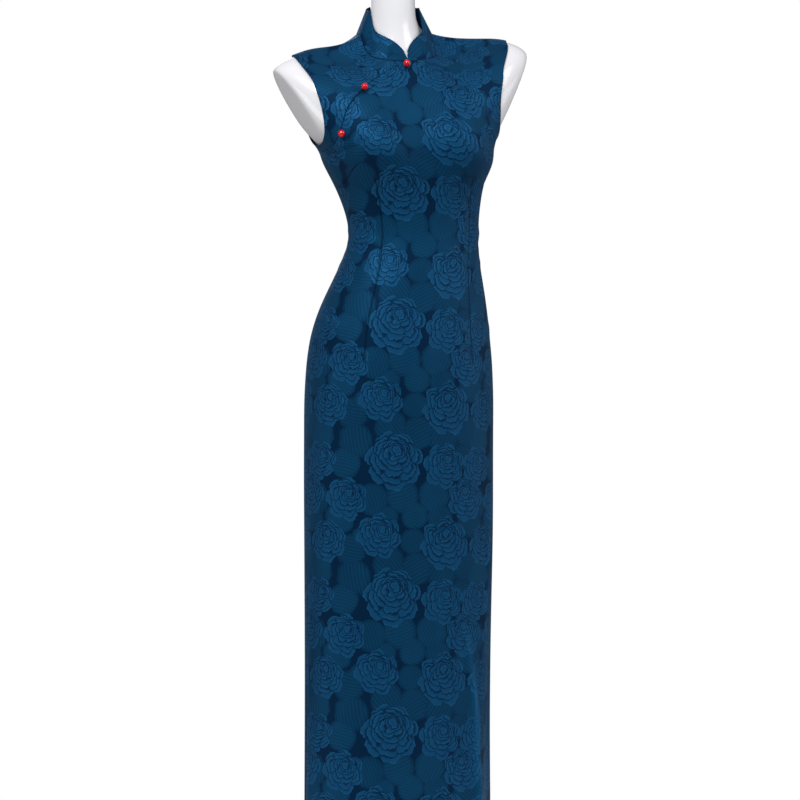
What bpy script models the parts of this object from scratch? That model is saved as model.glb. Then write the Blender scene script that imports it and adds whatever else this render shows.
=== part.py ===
"""Long sleeveless cheongsam, worn by a limbless dress form on a round stand.

Metres, +Z up. The front of the dress faces -Y and the wearer's left is +X.
The origin is the middle of the stand's foot, on the floor.

Dress and form share one surface: a loft through the rings of SECTIONS. A place on it is
(ring, turn): ring counts down the table from the top of the neck to the hem, and turn is the
angle round the body, 0 at the middle of the front, +90 at the wearer's left and 180 behind.
Cloth walls lie on that surface and go inwards from it, and the form lies just inside the cloth.
"""

import math
from collections import namedtuple

import bmesh
import bpy
import numpy as np

# Cloth and seams
CLOTH = 0.0015
SEAM_GAP = 0.0003
FLAP_GAP = 0.0014
UNDERLAP = 0.025  # how far the small right front runs on under the big one
LIFT_END = 0.022  # the stretch over which the big front comes back down past the underlap
SLIT_TOP_Z = 0.520
SLIT_HALF_GAP = 0.004  # at the hem, from the side line to either edge

FRONT_COLUMNS, BACK_COLUMNS = 26, 24
UNDERLAP_COLUMNS = 18  # of the same width as the front's
COLUMN_SNAP = 0.3  # share of a column's width within which it is drawn onto a panel's side
MERGE = 1e-5

# Collar
COLLAR_CLOTH = 0.0020
COLLAR_HEIGHT = 0.047
COLLAR_ROUNDING = 0.060  # length of the rounded front end, along the neckline
COLLAR_LEAN = math.radians(25)
COLLAR_AXIS = (-0.07, 0.0, 1.0)  # it stands round the neck, which tips to the wearer's right
COLLAR_FRONT_GAP = 0.0006
COLLAR_END = 0.0008  # height that is left at the two front ends
PIPING_RADIUS = 0.0010

# Bead fastenings: the height of each on the opening and how far in from the edge it sits
BEAD_RADIUS = 0.0060
BeadPlace = namedtuple("BeadPlace", "height inset")
BEAD_PLACES = (BeadPlace(1.3685, 0.0178), BeadPlace(1.3256, 0.0018), BeadPlace(1.2515, 0.0060))
LOOP_RADIUS = 0.0032
LOOP_CORD_RADIUS = 0.0008

# Cups, darts and the largest folds
BUST_Z = 1.226
BUST_APART = 0.080  # from the middle line to a bust point
BUST_HEIGHT = 0.020
BUST_WIDE = 0.037
BUST_TALL_ABOVE = 0.046
BUST_TALL_BELOW = 0.030

# Dress form and stand
FORM_END_Z = 0.720
STUMP_ROUNDING = 0.004
POLE_RADIUS = 0.016
BASE_RADIUS = 0.180
BASE_THICKNESS = 0.012
BASE_EDGE = 0.004

# Colours: linear RGB
DRESS_BLUE = (0.008, 0.052, 0.135)
BEAD_RED = (0.42, 0.006, 0.012)
FORM_WHITE = (0.80, 0.80, 0.82)
STAND_WHITE = (0.72, 0.72, 0.73)

# One row for each ring. x and half_width are across, the y columns are the side line, the middle
# of the front and the middle of the back, and z is the mean height of the two side points. The
# wearer's left side point is tilt above z and the right one tilt below; the middle of the front
# and of the back lie front_drop and back_drop below z. yaw turns the ring about its middle, in
# degrees, fullness is its superellipse power, ease the space between cloth and form and scoop how
# far its front dips like a round neckline, steep at the sides and nearly level across the middle.
Section = namedtuple(
    "Section",
    "name x half_width y_side y_front y_back z tilt front_drop back_drop yaw fullness ease scoop",
    defaults=(0,),
)
SECTIONS = (
    Section("neck_top", -0.0135, 0.0375, 0.006, -0.034, 0.043, 1.555, 0, 0, 0, 0, 2, -0.0015),
    Section("neck_mid", -0.0118, 0.0385, 0.006, -0.035, 0.044, 1.5, 0, 0.004, 0, 0, 2, -0.0015),
    Section("neck_low", -0.0105, 0.041, 0.007, -0.035, 0.045, 1.468, 0.001, 0.018, -0.005, 0, 2, 0, 0.5),
    Section("neck_foot", -0.007, 0.049, 0.011, -0.04, 0.054, 1.446, 0.003, 0.038, -0.01, 0, 2.2, 0.0016, 0.8),
    Section("neckline", -0.004, 0.0665, 0.012, -0.053, 0.07, 1.432, 0.004, 0.053, -0.014, 0, 2.8, 0.0028, 1.0),
    Section("yoke_high", -0.001, 0.105, 0.012, -0.066, 0.08, 1.4202, 0.009, 0.0625, 0.001, -3, 2.25, 0.0032, 0.75),
    Section("yoke_low", 0.001, 0.15, 0.012, -0.082, 0.09, 1.4164, 0.0125, 0.087, 0.023, -5, 2, 0.0026, 0.35),
    Section("shoulder_tip", 0.003, 0.19, 0.01, -0.095, 0.099, 1.409, 0.017, 0.106, 0.048, -7, 2, 0.002, 0.1),
    Section("shoulder_cap", 0.004, 0.228, 0.007, -0.103, 0.103, 1.387, 0.018, 0.102, 0.054, -7, 1.85, 0.002),
    Section("cap_low", 0.005, 0.225, 0.004, -0.109, 0.104, 1.342, 0.015, 0.076, 0.041, -7, 1.85, 0.002),
    Section("over_armpit", 0.0065, 0.189, 0.001, -0.1135, 0.103, 1.281, 0.009, 0.034, 0.013, -6, 2.1, 0.002),
    Section("armpit", 0.008, 0.154, -0.001, -0.116, 0.101, 1.238, 0.0045, 0.006, 0, -5, 2.5, 0.0028),
    Section("bust", 0.01, 0.146, -0.003, -0.1165, 0.0965, 1.209, 0, 0, 0, -4, 2.45, 0.003),
    Section("under_bust", 0.012, 0.1335, -0.005, -0.112, 0.088, 1.178, 0, 0, 0, -2.5, 2.4, 0.003),
    Section("ribs", 0.0165, 0.1245, -0.006, -0.103, 0.08, 1.146, 0, 0, 0, -1, 2.25, 0.0026),
    Section("waist_high", 0.0205, 0.118, -0.007, -0.0955, 0.0725, 1.1115, 0, 0, 0, 0, 2.15, 0.003),
    Section("waist", 0.0222, 0.1165, -0.007, -0.092, 0.068, 1.077, 0, 0, 0, 0, 2.1, 0.003),
    Section("waist_low", 0.0185, 0.122, -0.005, -0.0945, 0.073, 1.042, 0, 0, 0, 0, 2.1, 0.003),
    Section("high_hip", 0.014, 0.1325, -0.002, -0.099, 0.082, 1.007, 0, 0, 0, 0, 2.1, 0.0028),
    Section("belly", 0.0092, 0.144, 0.001, -0.103, 0.094, 0.972, 0, 0, 0, 0, 2.1, 0.0026),
    Section("hip_high", 0.005, 0.1535, 0.003, -0.1065, 0.1065, 0.937, 0, 0, 0, 0, 2.1, 0.0024),
    Section("hip", 0.0026, 0.16, 0.005, -0.109, 0.117, 0.903, 0, 0, 0, 0, 2.1, 0.0024),
    Section("seat", 0.0018, 0.164, 0.006, -0.11, 0.1245, 0.868, 0, 0, 0, 0, 2.15, 0.0026),
    Section("seat_low", 0.0013, 0.1667, 0.006, -0.1095, 0.1265, 0.832, 0, 0, 0, 0, 2.15, 0.0035),
    Section("thigh_high", 0.0008, 0.168, 0.006, -0.108, 0.1255, 0.788, 0, 0, 0, 0, 2.2, 0.006),
    Section("thigh", 0.0004, 0.1684, 0.006, -0.106, 0.1215, 0.732, 0, 0, 0, 0, 2.2, 0.01),
    Section("skirt_1", 0.0001, 0.1684, 0.006, -0.1035, 0.116, 0.656, 0, 0, 0, 0, 2.25, 0.015),
    Section("skirt_2", -0.0003, 0.1678, 0.005, -0.1005, 0.111, 0.556, 0, 0, 0, 0, 2.3, 0.015),
    Section("skirt_3", -0.0016, 0.1668, 0.005, -0.0985, 0.1075, 0.44, 0, 0, 0, 0, 2.3, 0.015),
    Section("skirt_4", -0.0034, 0.166, 0.004, -0.0972, 0.105, 0.32, 0, 0, 0, 0, 2.3, 0.015),
    Section("skirt_5", -0.0048, 0.166, 0.003, -0.0962, 0.1025, 0.2, 0, 0, 0, 0, 2.3, 0.015),
    Section("hem", -0.005, 0.1668, 0.003, -0.0955, 0.1, 0.075, 0, 0, 0, 0, 2.3, 0.015),
)
RING = {section.name: index for index, section in enumerate(SECTIONS)}
NECKLINE, TIP, ARMPIT, HEM = (RING[n] for n in ("neckline", "shoulder_tip", "armpit", "hem"))

# The opening of the big front, from the neckline down to the wearer's right side seam
OpeningPoint = namedtuple("OpeningPoint", "z x")
OPENING = (
    OpeningPoint(1.3810, -0.004),
    OpeningPoint(1.3700, -0.028),
    OpeningPoint(1.3570, -0.049),
    OpeningPoint(1.3400, -0.075),
    OpeningPoint(1.3200, -0.0985),
    OpeningPoint(1.2940, -0.1200),
    OpeningPoint(1.2640, -0.1297),
    OpeningPoint(1.2380, -0.1352),
    OpeningPoint(1.2130, -0.1450),
)

# The armhole's edge, a row every half ring from the shoulder tip to the armpit: how far out from
# the ring's middle the front and the back are cut
ArmholePoint = namedtuple("ArmholePoint", "front back")
ARMHOLE = (
    ArmholePoint(0.1900, 0.1900),
    ArmholePoint(0.1700, 0.1780),
    ArmholePoint(0.1648, 0.1750),
    ArmholePoint(0.1608, 0.1720),
    ArmholePoint(0.1575, 0.1680),
    ArmholePoint(0.1556, 0.1640),
    ArmholePoint(0.1545, 0.1600),
    ArmholePoint(0.1540, 0.1565),
    ArmholePoint(0.1540, 0.1540),
)

# The planes that cut the form's shoulder stumps: a point on each, and its outward normal
Stump = namedtuple("Stump", "x z slope")
STUMPS = (Stump(-0.2230, 1.366, math.radians(30)), Stump(0.2280, 1.402, math.radians(26)))
STUMP_FADE_Z = (1.215, 1.245)  # the cut planes end here, at the armpits

# The skirt's soft upright folds: turn in degrees, how wide, how far they stand out at the hem,
# and the height at which they begin
Fold = namedtuple("Fold", "turn wide out top_z")
FOLDS = (
    Fold(-78, 7.0, 0.0030, 0.60),
    Fold(-62, 9.0, -0.0030, 0.48),
    Fold(-30, 15.0, 0.0022, 0.50),
    Fold(12, 14.0, -0.0018, 0.42),
    Fold(46, 7.5, 0.0055, 0.58),
    Fold(62, 8.0, -0.0050, 0.60),
    Fold(81, 7.0, 0.0030, 0.62),
    Fold(112, 9.0, -0.0040, 0.56),
    Fold(128, 8.0, 0.0050, 0.60),
    Fold(160, 14.0, 0.0030, 0.55),
    Fold(-158, 13.0, -0.0028, 0.50),
    Fold(-130, 9.0, 0.0045, 0.58),
    Fold(-110, 8.0, -0.0035, 0.60),
)


def natural_spline(values):
    """Second derivatives of the natural cubic spline through each column, one row a step."""
    count = len(values)
    matrix = np.eye(count)
    for i in range(1, count - 1):
        matrix[i, i - 1 : i + 2] = (1, 4, 1)
    bend = np.zeros_like(values)
    bend[1:-1] = 6 * (values[2:] - 2 * values[1:-1] + values[:-2])
    return np.linalg.solve(matrix, bend)


class Spline:
    """A smooth curve through each column of a table, at any place between its rows."""

    def __init__(self, table):
        self.rows = np.array(table, float)
        self.bends = natural_spline(self.rows)

    def __call__(self, place):
        place = np.clip(place, 0, len(self.rows) - 1)
        low = np.minimum(place.astype(int), len(self.rows) - 2)
        b = (place - low)[..., None]
        a = 1 - b
        bend = ((a**3 - a) * self.bends[low] + (b**3 - b) * self.bends[low + 1]) / 6
        return np.moveaxis(a * self.rows[low] + b * self.rows[low + 1] + bend, -1, 0)


section_at = Spline([section[1:] for section in SECTIONS])
armhole_at = Spline(ARMHOLE)
opening_at = Spline(OPENING)

QUARTERS = np.radians([0, 90, 180, 270])


def unit(vectors):
    return vectors / np.linalg.norm(vectors, axis=-1, keepdims=True)


def smooth_step(low, high, value):
    share = np.clip((value - low) / (high - low), 0, 1)
    return share * share * (3 - 2 * share)


def local(ring, turn):
    """How far out across and how far back from its middle a point of a ring lies."""
    _, half, y_side, y_front, y_back, *_, power, _, _ = section_at(ring)
    across, ahead = np.sin(turn), np.cos(turn)
    full = (np.abs(across) ** power + np.abs(ahead) ** power) ** (-1 / power)
    depth = np.where(ahead > 0, y_side - y_front, y_back - y_side)
    return half * across * full, -depth * ahead * full


SCOOP_ROOM = 0.16  # the less it is, the steeper the round neckline is at the sides


def body(ring, turn):
    """The shared surface, without cups and folds."""
    x, _, y_side, _, _, z, tilt, front_drop, back_drop, yaw, *_, scoop = section_at(ring)
    out, back = local(ring, turn)
    cos, sin = np.cos(np.radians(yaw)), np.sin(np.radians(yaw))
    ahead = np.cos(turn)
    level = ahead**2
    scooped = scoop * level * (1 + SCOOP_ROOM) / (level + SCOOP_ROOM) + (1 - scoop) * level
    height = z + tilt * np.sin(turn) - np.where(ahead > 0, front_drop * scooped, back_drop * level)
    return np.stack([x + cos * out - sin * back, y_side + sin * out + cos * back, height], axis=-1)


def normal(ring, turn):
    """The outward direction of the shared surface."""
    step = 1e-3
    along = body(ring + step, turn) - body(ring - step, turn)
    around = body(ring, turn + step) - body(ring, turn - step)
    return unit(np.cross(along, around))


def cups(ring, turn):
    """How far the bust darts push the front out."""
    out, _ = local(ring, turn)
    height = body(ring, turn)[..., 2] - BUST_Z
    tall = np.where(height > 0, BUST_TALL_ABOVE, BUST_TALL_BELOW)
    sides = sum(np.exp(-(((out - side * BUST_APART) / BUST_WIDE) ** 2) / 2) for side in (-1, 1))
    in_front = smooth_step(0.0, 0.5, np.cos(turn))
    return BUST_HEIGHT * np.exp(-((height / tall) ** 2) / 2) * sides * in_front


def folds(point, turn):
    """How far the skirt's folds stand out, or in where it is negative."""
    out = np.zeros_like(turn)
    for fold in FOLDS:
        away = np.degrees(np.angle(np.exp(1j * (turn - math.radians(fold.turn)))))
        grown = smooth_step(fold.top_z, SECTIONS[HEM].z, point[..., 2])
        out += fold.out * grown * np.exp(-((away / fold.wide) ** 2) / 2)
    return out


def dressed(ring, turn, out):
    """A point out beyond the garment's surface, or inside it where out is negative."""
    base = body(ring, turn)
    swell = cups(ring, turn) + folds(base, turn)
    return base + normal(ring, turn) * (out + swell)[..., None]


def spaced_rings(first, last, count, path):
    """Rings from first to last, evenly spaced by length along the path that a ring gives."""
    rings = np.linspace(first, last, 400)
    steps = np.linalg.norm(np.diff(path(rings), axis=0), axis=-1)
    steps = steps if steps.ndim == 1 else steps.max(axis=-1)
    along = np.concatenate([[0], np.cumsum(steps)])
    return np.interp(np.linspace(0, along[-1], count), along, rings)


def four_ways(rings):
    """The front, back and side points of each ring."""
    return np.stack([body(rings, np.full_like(rings, turn)) for turn in QUARTERS], axis=1)


def left_armhole(rings):
    return body(rings, armhole_edge(rings, 1, 1))


def panel_rings(last):
    """The rings that carry a panel's rows: all panels share them, so their edges agree."""
    return PANEL_RINGS[: np.searchsorted(PANEL_RINGS, last) + 1]


def row_of(rings, share):
    return rings[np.rint(share * (len(rings) - 1)).astype(int)]


def crossing(ring, low, high, outside):
    """The turn between low and high at which outside(ring, turn) stops being true."""
    low, high = np.full_like(ring, low), np.full_like(ring, high)
    for _ in range(40):
        middle = (low + high) / 2
        keep = outside(ring, middle)
        low, high = np.where(keep, middle, low), np.where(keep, high, middle)
    return (low + high) / 2


def armhole_edge(ring, side, facing):
    """The turn of the armhole's edge. side is +1 on the wearer's left, facing +1 in front."""
    cut = armhole_at(2 * (ring - TIP))[0 if facing > 0 else 1]
    start = 0.0 if facing > 0 else side * math.pi
    edge = crossing(ring, start, side * math.pi / 2, lambda r, t: np.abs(local(r, t)[0]) < cut)
    inside = (ring > TIP) & (ring < ARMPIT)
    return np.where(inside, edge, side * math.pi / 2)


def panel_side(ring, side, facing, slit=True):
    """The turn of a panel's side: shoulder seam, armhole, side seam and slit, less half the gap."""
    _, _, y_side, y_front, y_back, z, *_ = section_at(ring)
    depth = y_side - y_front if facing > 0 else y_back - y_side
    opened = SLIT_HALF_GAP * np.clip((SLIT_TOP_Z - z) / (SLIT_TOP_Z - SECTIONS[HEM].z), 0, 1)
    gap = (SEAM_GAP / 2 + (opened if slit else 0)) / depth
    on_armhole = (ring > TIP) & (ring < ARMPIT)
    back_off = np.where(on_armhole, 0, gap) * side * facing
    return armhole_edge(ring, side, facing) - back_off


OPENING_Z, OPENING_X = opening_at(np.linspace(len(OPENING) - 1, 0, 200))


def opening_edge(ring):
    """The turn of the opening: the middle of the front at the neckline, the side seam below."""

    def inside(ring, turn):
        point = body(ring, turn)
        return point[..., 0] > np.interp(point[..., 2], OPENING_Z, OPENING_X)

    side = panel_side(ring, -1, 1)
    found = crossing(ring, math.radians(2), -math.pi / 2, inside)
    return np.where(ring < OPENING_END, np.maximum(found, side), side)


PANEL_RINGS = np.concatenate(
    [
        spaced_rings(NECKLINE, TIP, 6, four_ways)[:-1],
        spaced_rings(TIP, ARMPIT, 15, left_armhole)[:-1],
        spaced_rings(ARMPIT, RING["bust"], 5, four_ways)[:-1],
        spaced_rings(RING["bust"], RING["waist"], 9, four_ways)[:-1],
        spaced_rings(RING["waist"], RING["seat"], 9, four_ways)[:-1],
        spaced_rings(RING["seat"], HEM, 11, four_ways),
    ]
)
OPENING_END = float(
    np.interp(-OPENING[-1].z, [-s.z for s in SECTIONS[ARMPIT:]], range(ARMPIT, HEM + 1))
)


def turn_for(ring, length):
    """The turn that spans a length on the front, at each ring."""
    _, half, y_side, y_front, *_ = section_at(ring)
    return length / np.sqrt((half**2 + (y_side - y_front) ** 2) / 2)


def flap_lift(ring, turn):
    """How far the big front stands off the shared surface, to lie on the underlap."""
    edge = opening_edge(ring)
    near, far = turn_for(ring, UNDERLAP * 1.15), turn_for(ring, UNDERLAP * 1.15 + LIFT_END)
    sideways = 1 - smooth_step(0, 1, (turn - edge - near) / (far - near))
    downwards = 1 - smooth_step(OPENING_END + 1.2, OPENING_END + 2.4, ring)
    return (CLOTH + FLAP_GAP) * sideways * downwards


def fitted(place, columns, low, high, right, left):
    """Columns evenly spread in turn from low to high, at place from 0 to 1, and cut off at a
    panel's two sides. A column that comes close to a side is drawn onto it."""
    turn = low + (high - low) * place
    close = COLUMN_SNAP * (high - low) / columns
    turn = np.where(turn - right < close, right, turn)
    return np.where(left - turn < close, left, turn)


def new_object(name, mesh, material):
    mesh.materials.append(material)
    made = bpy.data.objects.new(name, mesh)
    DRESS.objects.link(made)
    return made


def finish_mesh(name, work, material):
    bmesh.ops.recalc_face_normals(work, faces=work.faces)
    if work.calc_volume(signed=True) < 0:
        bmesh.ops.reverse_faces(work, faces=work.faces)
    mesh = bpy.data.meshes.new(name)
    work.to_mesh(mesh)
    work.free()
    mesh.shade_smooth()
    mesh.set_sharp_from_angle(angle=math.radians(50))
    return new_object(name, mesh, material)


def cloth(name, columns, rows, place, material=None):
    """A closed wall: a grid over the unit square, extruded and then set in place by
    place(across, down, inner), with across and down from 0 to 1 and inner 0 or 1."""
    work = bmesh.new()
    bmesh.ops.create_grid(work, x_segments=columns, y_segments=rows, size=0.5)
    made = bmesh.ops.extrude_face_region(work, geom=work.faces[:], use_keep_orig=True)
    inner = [e for e in made["geom"] if isinstance(e, bmesh.types.BMVert)]
    bmesh.ops.translate(work, verts=inner, vec=(0, 0, 1))
    at = np.array([v.co for v in work.verts])
    points = place(at[:, 0] + 0.5, at[:, 1] + 0.5, at[:, 2])
    for vertex, point in zip(work.verts, points):
        vertex.co = point
    bmesh.ops.remove_doubles(work, verts=work.verts, dist=MERGE)
    return finish_mesh(name, work, material or SATIN)


def material(name, colour, roughness, metallic=0.0):
    made = bpy.data.materials.new(name)
    made.use_nodes = True
    shader = made.node_tree.nodes["Principled BSDF"]
    shader.inputs["Base Color"].default_value = (*colour, 1)
    shader.inputs["Roughness"].default_value = roughness
    shader.inputs["Metallic"].default_value = metallic
    return made


def tube(name, line, radius, cyclic, made_of):
    """A filled tube along a line of points."""
    curve = bpy.data.curves.new(name, "CURVE")
    curve.dimensions = "3D"
    curve.bevel_depth = radius
    curve.bevel_resolution = 1
    curve.use_fill_caps = not cyclic
    spline = curve.splines.new("POLY")
    spline.points.add(len(line) - 1)
    for point, place in zip(spline.points, line):
        point.co = (*place, 1)
    spline.use_cyclic_u = cyclic
    return new_object(name, curve, made_of)


def build_front():
    """The big front: full width below, and above the opening only the wearer's left."""

    def place(across, down, inner):
        ring = row_of(PANEL_RINGS, down)
        right, left = opening_edge(ring), panel_side(ring, 1, 1)
        turn = fitted(across, FRONT_COLUMNS, -QUARTERS[1], QUARTERS[1], right, left)
        return dressed(ring, turn, flap_lift(ring, turn) - CLOTH * inner)

    return cloth("front_panel", FRONT_COLUMNS, len(PANEL_RINGS) - 1, place)


def build_underlap():
    """The small right front, from shoulder seam and armhole to just past the opening."""
    rings = panel_rings(OPENING_END + 0.5)

    def place(across, down, inner):
        ring = row_of(rings, down)
        side, end = panel_side(ring, -1, 1), opening_edge(ring) + turn_for(ring, UNDERLAP)
        last = math.pi * (UNDERLAP_COLUMNS / FRONT_COLUMNS - 0.5)
        turn = fitted(across, UNDERLAP_COLUMNS, -QUARTERS[1], last, side, end)
        return dressed(ring, turn, -CLOTH * inner)

    return cloth("right_front_underlap", UNDERLAP_COLUMNS, len(rings) - 1, place)


def build_back():

    def place(across, down, inner):
        ring = row_of(PANEL_RINGS, down)
        left, right = panel_side(ring, 1, -1), panel_side(ring, -1, -1) + 2 * math.pi
        turn = fitted(across, BACK_COLUMNS, QUARTERS[1], QUARTERS[3], left, right)
        return dressed(ring, turn, -CLOTH * inner)

    return cloth("back_panel", BACK_COLUMNS, len(PANEL_RINGS) - 1, place)


def neck_ring(turn):
    """The neckline, the way up the cloth from it, and the level way to the neck's middle."""
    ring = np.full_like(turn, float(NECKLINE))
    line = body(ring, turn)
    up = body(ring - 0.05, turn) - line
    middle = np.array([SECTIONS[NECKLINE].x, SECTIONS[NECKLINE].y_side, 0])
    return line, unit(up), unit((middle - line) * (1, 1, 0))


def collar_turns(share):
    """turn along the collar, from its right front end round the back to its left front end."""
    end = COLLAR_FRONT_GAP / 2 / SECTIONS[NECKLINE].half_width
    return -end - share * (2 * math.pi - 2 * end)


def collar_height(turn):
    """Full height round the back, rounded down to nothing at the two front ends."""
    around = SECTIONS[NECKLINE].half_width * np.abs(np.angle(np.exp(1j * turn)))
    short = np.clip(1 - around / COLLAR_ROUNDING, 0, 1)
    return COLLAR_HEIGHT * np.sqrt(1 - short**2) + COLLAR_END * short


def collar_point(turn, height, inner):
    line, up, inward = neck_ring(turn)
    rise = np.array(COLLAR_AXIS) * math.cos(COLLAR_LEAN) + inward * math.sin(COLLAR_LEAN)
    foot = line + up * SEAM_GAP + inward * SEAM_GAP
    return foot + rise * height[..., None] + inward * (COLLAR_CLOTH * inner)[..., None]


def build_collar():
    def place(across, down, inner):
        turn = collar_turns(across)
        return collar_point(turn, down * collar_height(turn), inner)

    return cloth("collar", 48, 4, place)


def beside(line, outward, distance, closed):
    """A line moved sideways, in the surface whose outward directions are given, to lie at a
    distance from the first one on its right-hand side."""
    first, last = (line[-1], line[0]) if closed else (2 * line[0] - line[1], 2 * line[-1] - line[-2])
    before, after = np.vstack([first, line[:-1]]), np.vstack([line[1:], last])
    came, goes = unit(line - before), unit(after - line)
    along = unit(came + goes)
    reach = distance / np.sqrt((1 + (came * goes).sum(-1, keepdims=True)) / 2)
    return line + unit(np.cross(along, outward)) * reach


def build_collar_piping():
    turn = collar_turns(np.linspace(0.009, 0.991, 74))
    inward = neck_ring(turn)[2]
    top = collar_point(turn, collar_height(turn), np.full_like(turn, 0.5))
    line = beside(top, -inward, SEAM_GAP + PIPING_RADIUS, False)
    return tube("collar_piping", line, PIPING_RADIUS, False, SATIN)


def build_armhole_piping(name, side):
    """A closed loop just inside the armhole's edge, down its front and up its back."""
    rings = PANEL_RINGS[(PANEL_RINGS >= TIP) & (PANEL_RINGS <= ARMPIT)]
    down, up = rings, rings[-2:0:-1]
    ring = np.concatenate([down, up])
    turn = np.concatenate([armhole_edge(down, side, 1), armhole_edge(up, side, -1)])
    edge = dressed(ring, turn, np.full_like(ring, -CLOTH / 2))
    line = beside(edge, -side * normal(ring, turn), 2 * SEAM_GAP + PIPING_RADIUS, True)
    return tube(name, line, PIPING_RADIUS, True, SATIN)


def build_beads():
    """A glossy round bead on a small ring of cord, at each fastening along the opening."""
    rings = np.linspace(NECKLINE, OPENING_END, 400)
    heights = body(rings, opening_edge(rings))[:, 2]
    for number, bead in enumerate(BEAD_PLACES, 1):
        at = rings[[np.abs(heights - bead.height).argmin()]]
        turn = opening_edge(at) + turn_for(at, bead.inset)
        foot = dressed(at, turn, flap_lift(at, turn) + 3 * SEAM_GAP)[0]
        out = normal(at, turn)[0]
        add_loop(f"bead_loop_{number}", foot + out * LOOP_CORD_RADIUS, out)
        add_bead(f"bead_{number}", foot + out * (BEAD_RADIUS + LOOP_CORD_RADIUS + SEAM_GAP))


def add_bead(name, place):
    work = bmesh.new()
    bmesh.ops.create_uvsphere(work, u_segments=16, v_segments=10, radius=BEAD_RADIUS)
    bmesh.ops.translate(work, verts=work.verts, vec=place)
    return finish_mesh(name, work, CORAL)


def add_loop(name, place, out):
    """A ring of cord in the plane across out."""
    side = unit(np.cross(out, (0, 0, 1)))
    other = np.cross(out, side)
    angles = np.linspace(0, 2 * math.pi, 14, endpoint=False)
    line = [place + LOOP_RADIUS * (math.cos(a) * side + math.sin(a) * other) for a in angles]
    return tube(name, line, LOOP_CORD_RADIUS, True, SATIN)


def cut_stumps(points):
    """Moves what lies past the shoulder planes back onto them, with a rounded edge."""
    for stump in STUMPS:
        side = math.copysign(1, stump.x)
        away = np.array([side * math.cos(stump.slope), 0, -math.sin(stump.slope)])
        past = (points - np.array([stump.x, 0, stump.z])) @ away
        past *= smooth_step(*STUMP_FADE_Z, points[:, 2])
        past = (past + np.hypot(past, STUMP_ROUNDING)) / 2
        points = points - past[:, None] * away
    return points


def build_form():
    """The dress form's closed body, from the top of the neck to below the seat."""
    columns, rows = 36, 40
    end = np.interp(-FORM_END_Z, [-section.z for section in SECTIONS], range(HEM + 1))
    rings = spaced_rings(0, end, rows + 1, four_ways)
    work = bmesh.new()
    bmesh.ops.create_grid(work, x_segments=columns, y_segments=rows, size=0.5)
    at = np.array([v.co for v in work.verts])
    ring = row_of(rings, at[:, 1] + 0.5)
    turn = 2 * math.pi * at[:, 0]
    ease = section_at(ring)[-2]
    points = cut_stumps(dressed(ring, turn, -CLOTH - ease))
    points[ring == rings[-1], 2] = FORM_END_Z
    for vertex, point in zip(work.verts, points):
        vertex.co = point
    bmesh.ops.remove_doubles(work, verts=work.verts, dist=MERGE)
    bmesh.ops.holes_fill(work, edges=work.edges, sides=0)
    return finish_mesh("form_torso", work, GLOSS_WHITE)


def build_stand():
    """A pole under the form and a round base plate on the floor."""
    work = bmesh.new()
    bmesh.ops.create_cone(work, segments=24, cap_ends=True, depth=1, radius1=1, radius2=1)
    low, high = BASE_THICKNESS + SEAM_GAP, FORM_END_Z - SEAM_GAP
    bmesh.ops.scale(work, verts=work.verts, vec=(POLE_RADIUS, POLE_RADIUS, high - low))
    bmesh.ops.translate(work, verts=work.verts, vec=(0, 0, (low + high) / 2))
    finish_mesh("stand_pole", work, STAND)

    work = bmesh.new()
    bmesh.ops.create_cone(
        work, segments=64, cap_ends=True, depth=BASE_THICKNESS, radius1=BASE_RADIUS, radius2=BASE_RADIUS
    )
    bmesh.ops.translate(work, verts=work.verts, vec=(0, 0, BASE_THICKNESS / 2))
    base = finish_mesh("stand_base", work, STAND)
    edge = base.modifiers.new("edge", "BEVEL")
    edge.width = BASE_EDGE
    edge.segments = 2
    edge.limit_method = "ANGLE"


for leftover in list(bpy.data.objects):
    bpy.data.objects.remove(leftover)
DRESS = bpy.data.collections.new("cheongsam_on_dress_form")
bpy.context.scene.collection.children.link(DRESS)

SATIN = material("blue_jacquard_satin", DRESS_BLUE, 0.42)
CORAL = material("red_bead", BEAD_RED, 0.12)
GLOSS_WHITE = material("form_gloss_white", FORM_WHITE, 0.25)
STAND = material("stand_white", STAND_WHITE, 0.35)

build_front()
build_underlap()
build_back()
build_collar()
build_collar_piping()
build_armhole_piping("armhole_piping_right", -1)
build_armhole_piping("armhole_piping_left", 1)
build_beads()
build_form()
build_stand()
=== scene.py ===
"""Looks of a long sleeveless cheongsam worn by a limbless dress form.

Metres, +Z up. The front of the dress faces -Y and the wearer's left is +X.

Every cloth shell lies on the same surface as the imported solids: a loft through the rings of
SECTIONS. A place on it is (ring, turn): ring counts down the table and turn is the angle round
the body, 0 at the middle of the front, +90 at the wearer's left and 180 behind.
"""

import math
from collections import namedtuple

import bmesh
import bpy
import numpy as np
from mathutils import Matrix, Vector


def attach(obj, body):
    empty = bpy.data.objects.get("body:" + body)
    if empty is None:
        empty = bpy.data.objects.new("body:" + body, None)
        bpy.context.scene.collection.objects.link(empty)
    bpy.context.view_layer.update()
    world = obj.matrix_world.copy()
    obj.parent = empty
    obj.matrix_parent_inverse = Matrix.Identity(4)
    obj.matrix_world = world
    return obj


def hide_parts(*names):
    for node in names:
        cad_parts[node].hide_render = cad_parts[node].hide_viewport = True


bl_info = {
    "name": "Cheongsam on a dress form",
    "version": (1, 0, 0),
    "blender": (4, 5, 0),
    "location": "View3D > Sidebar > Cheongsam",
    "description": "Builds the cloth, fastenings, form and stage of a long sleeveless cheongsam",
    "category": "Object",
}

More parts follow.
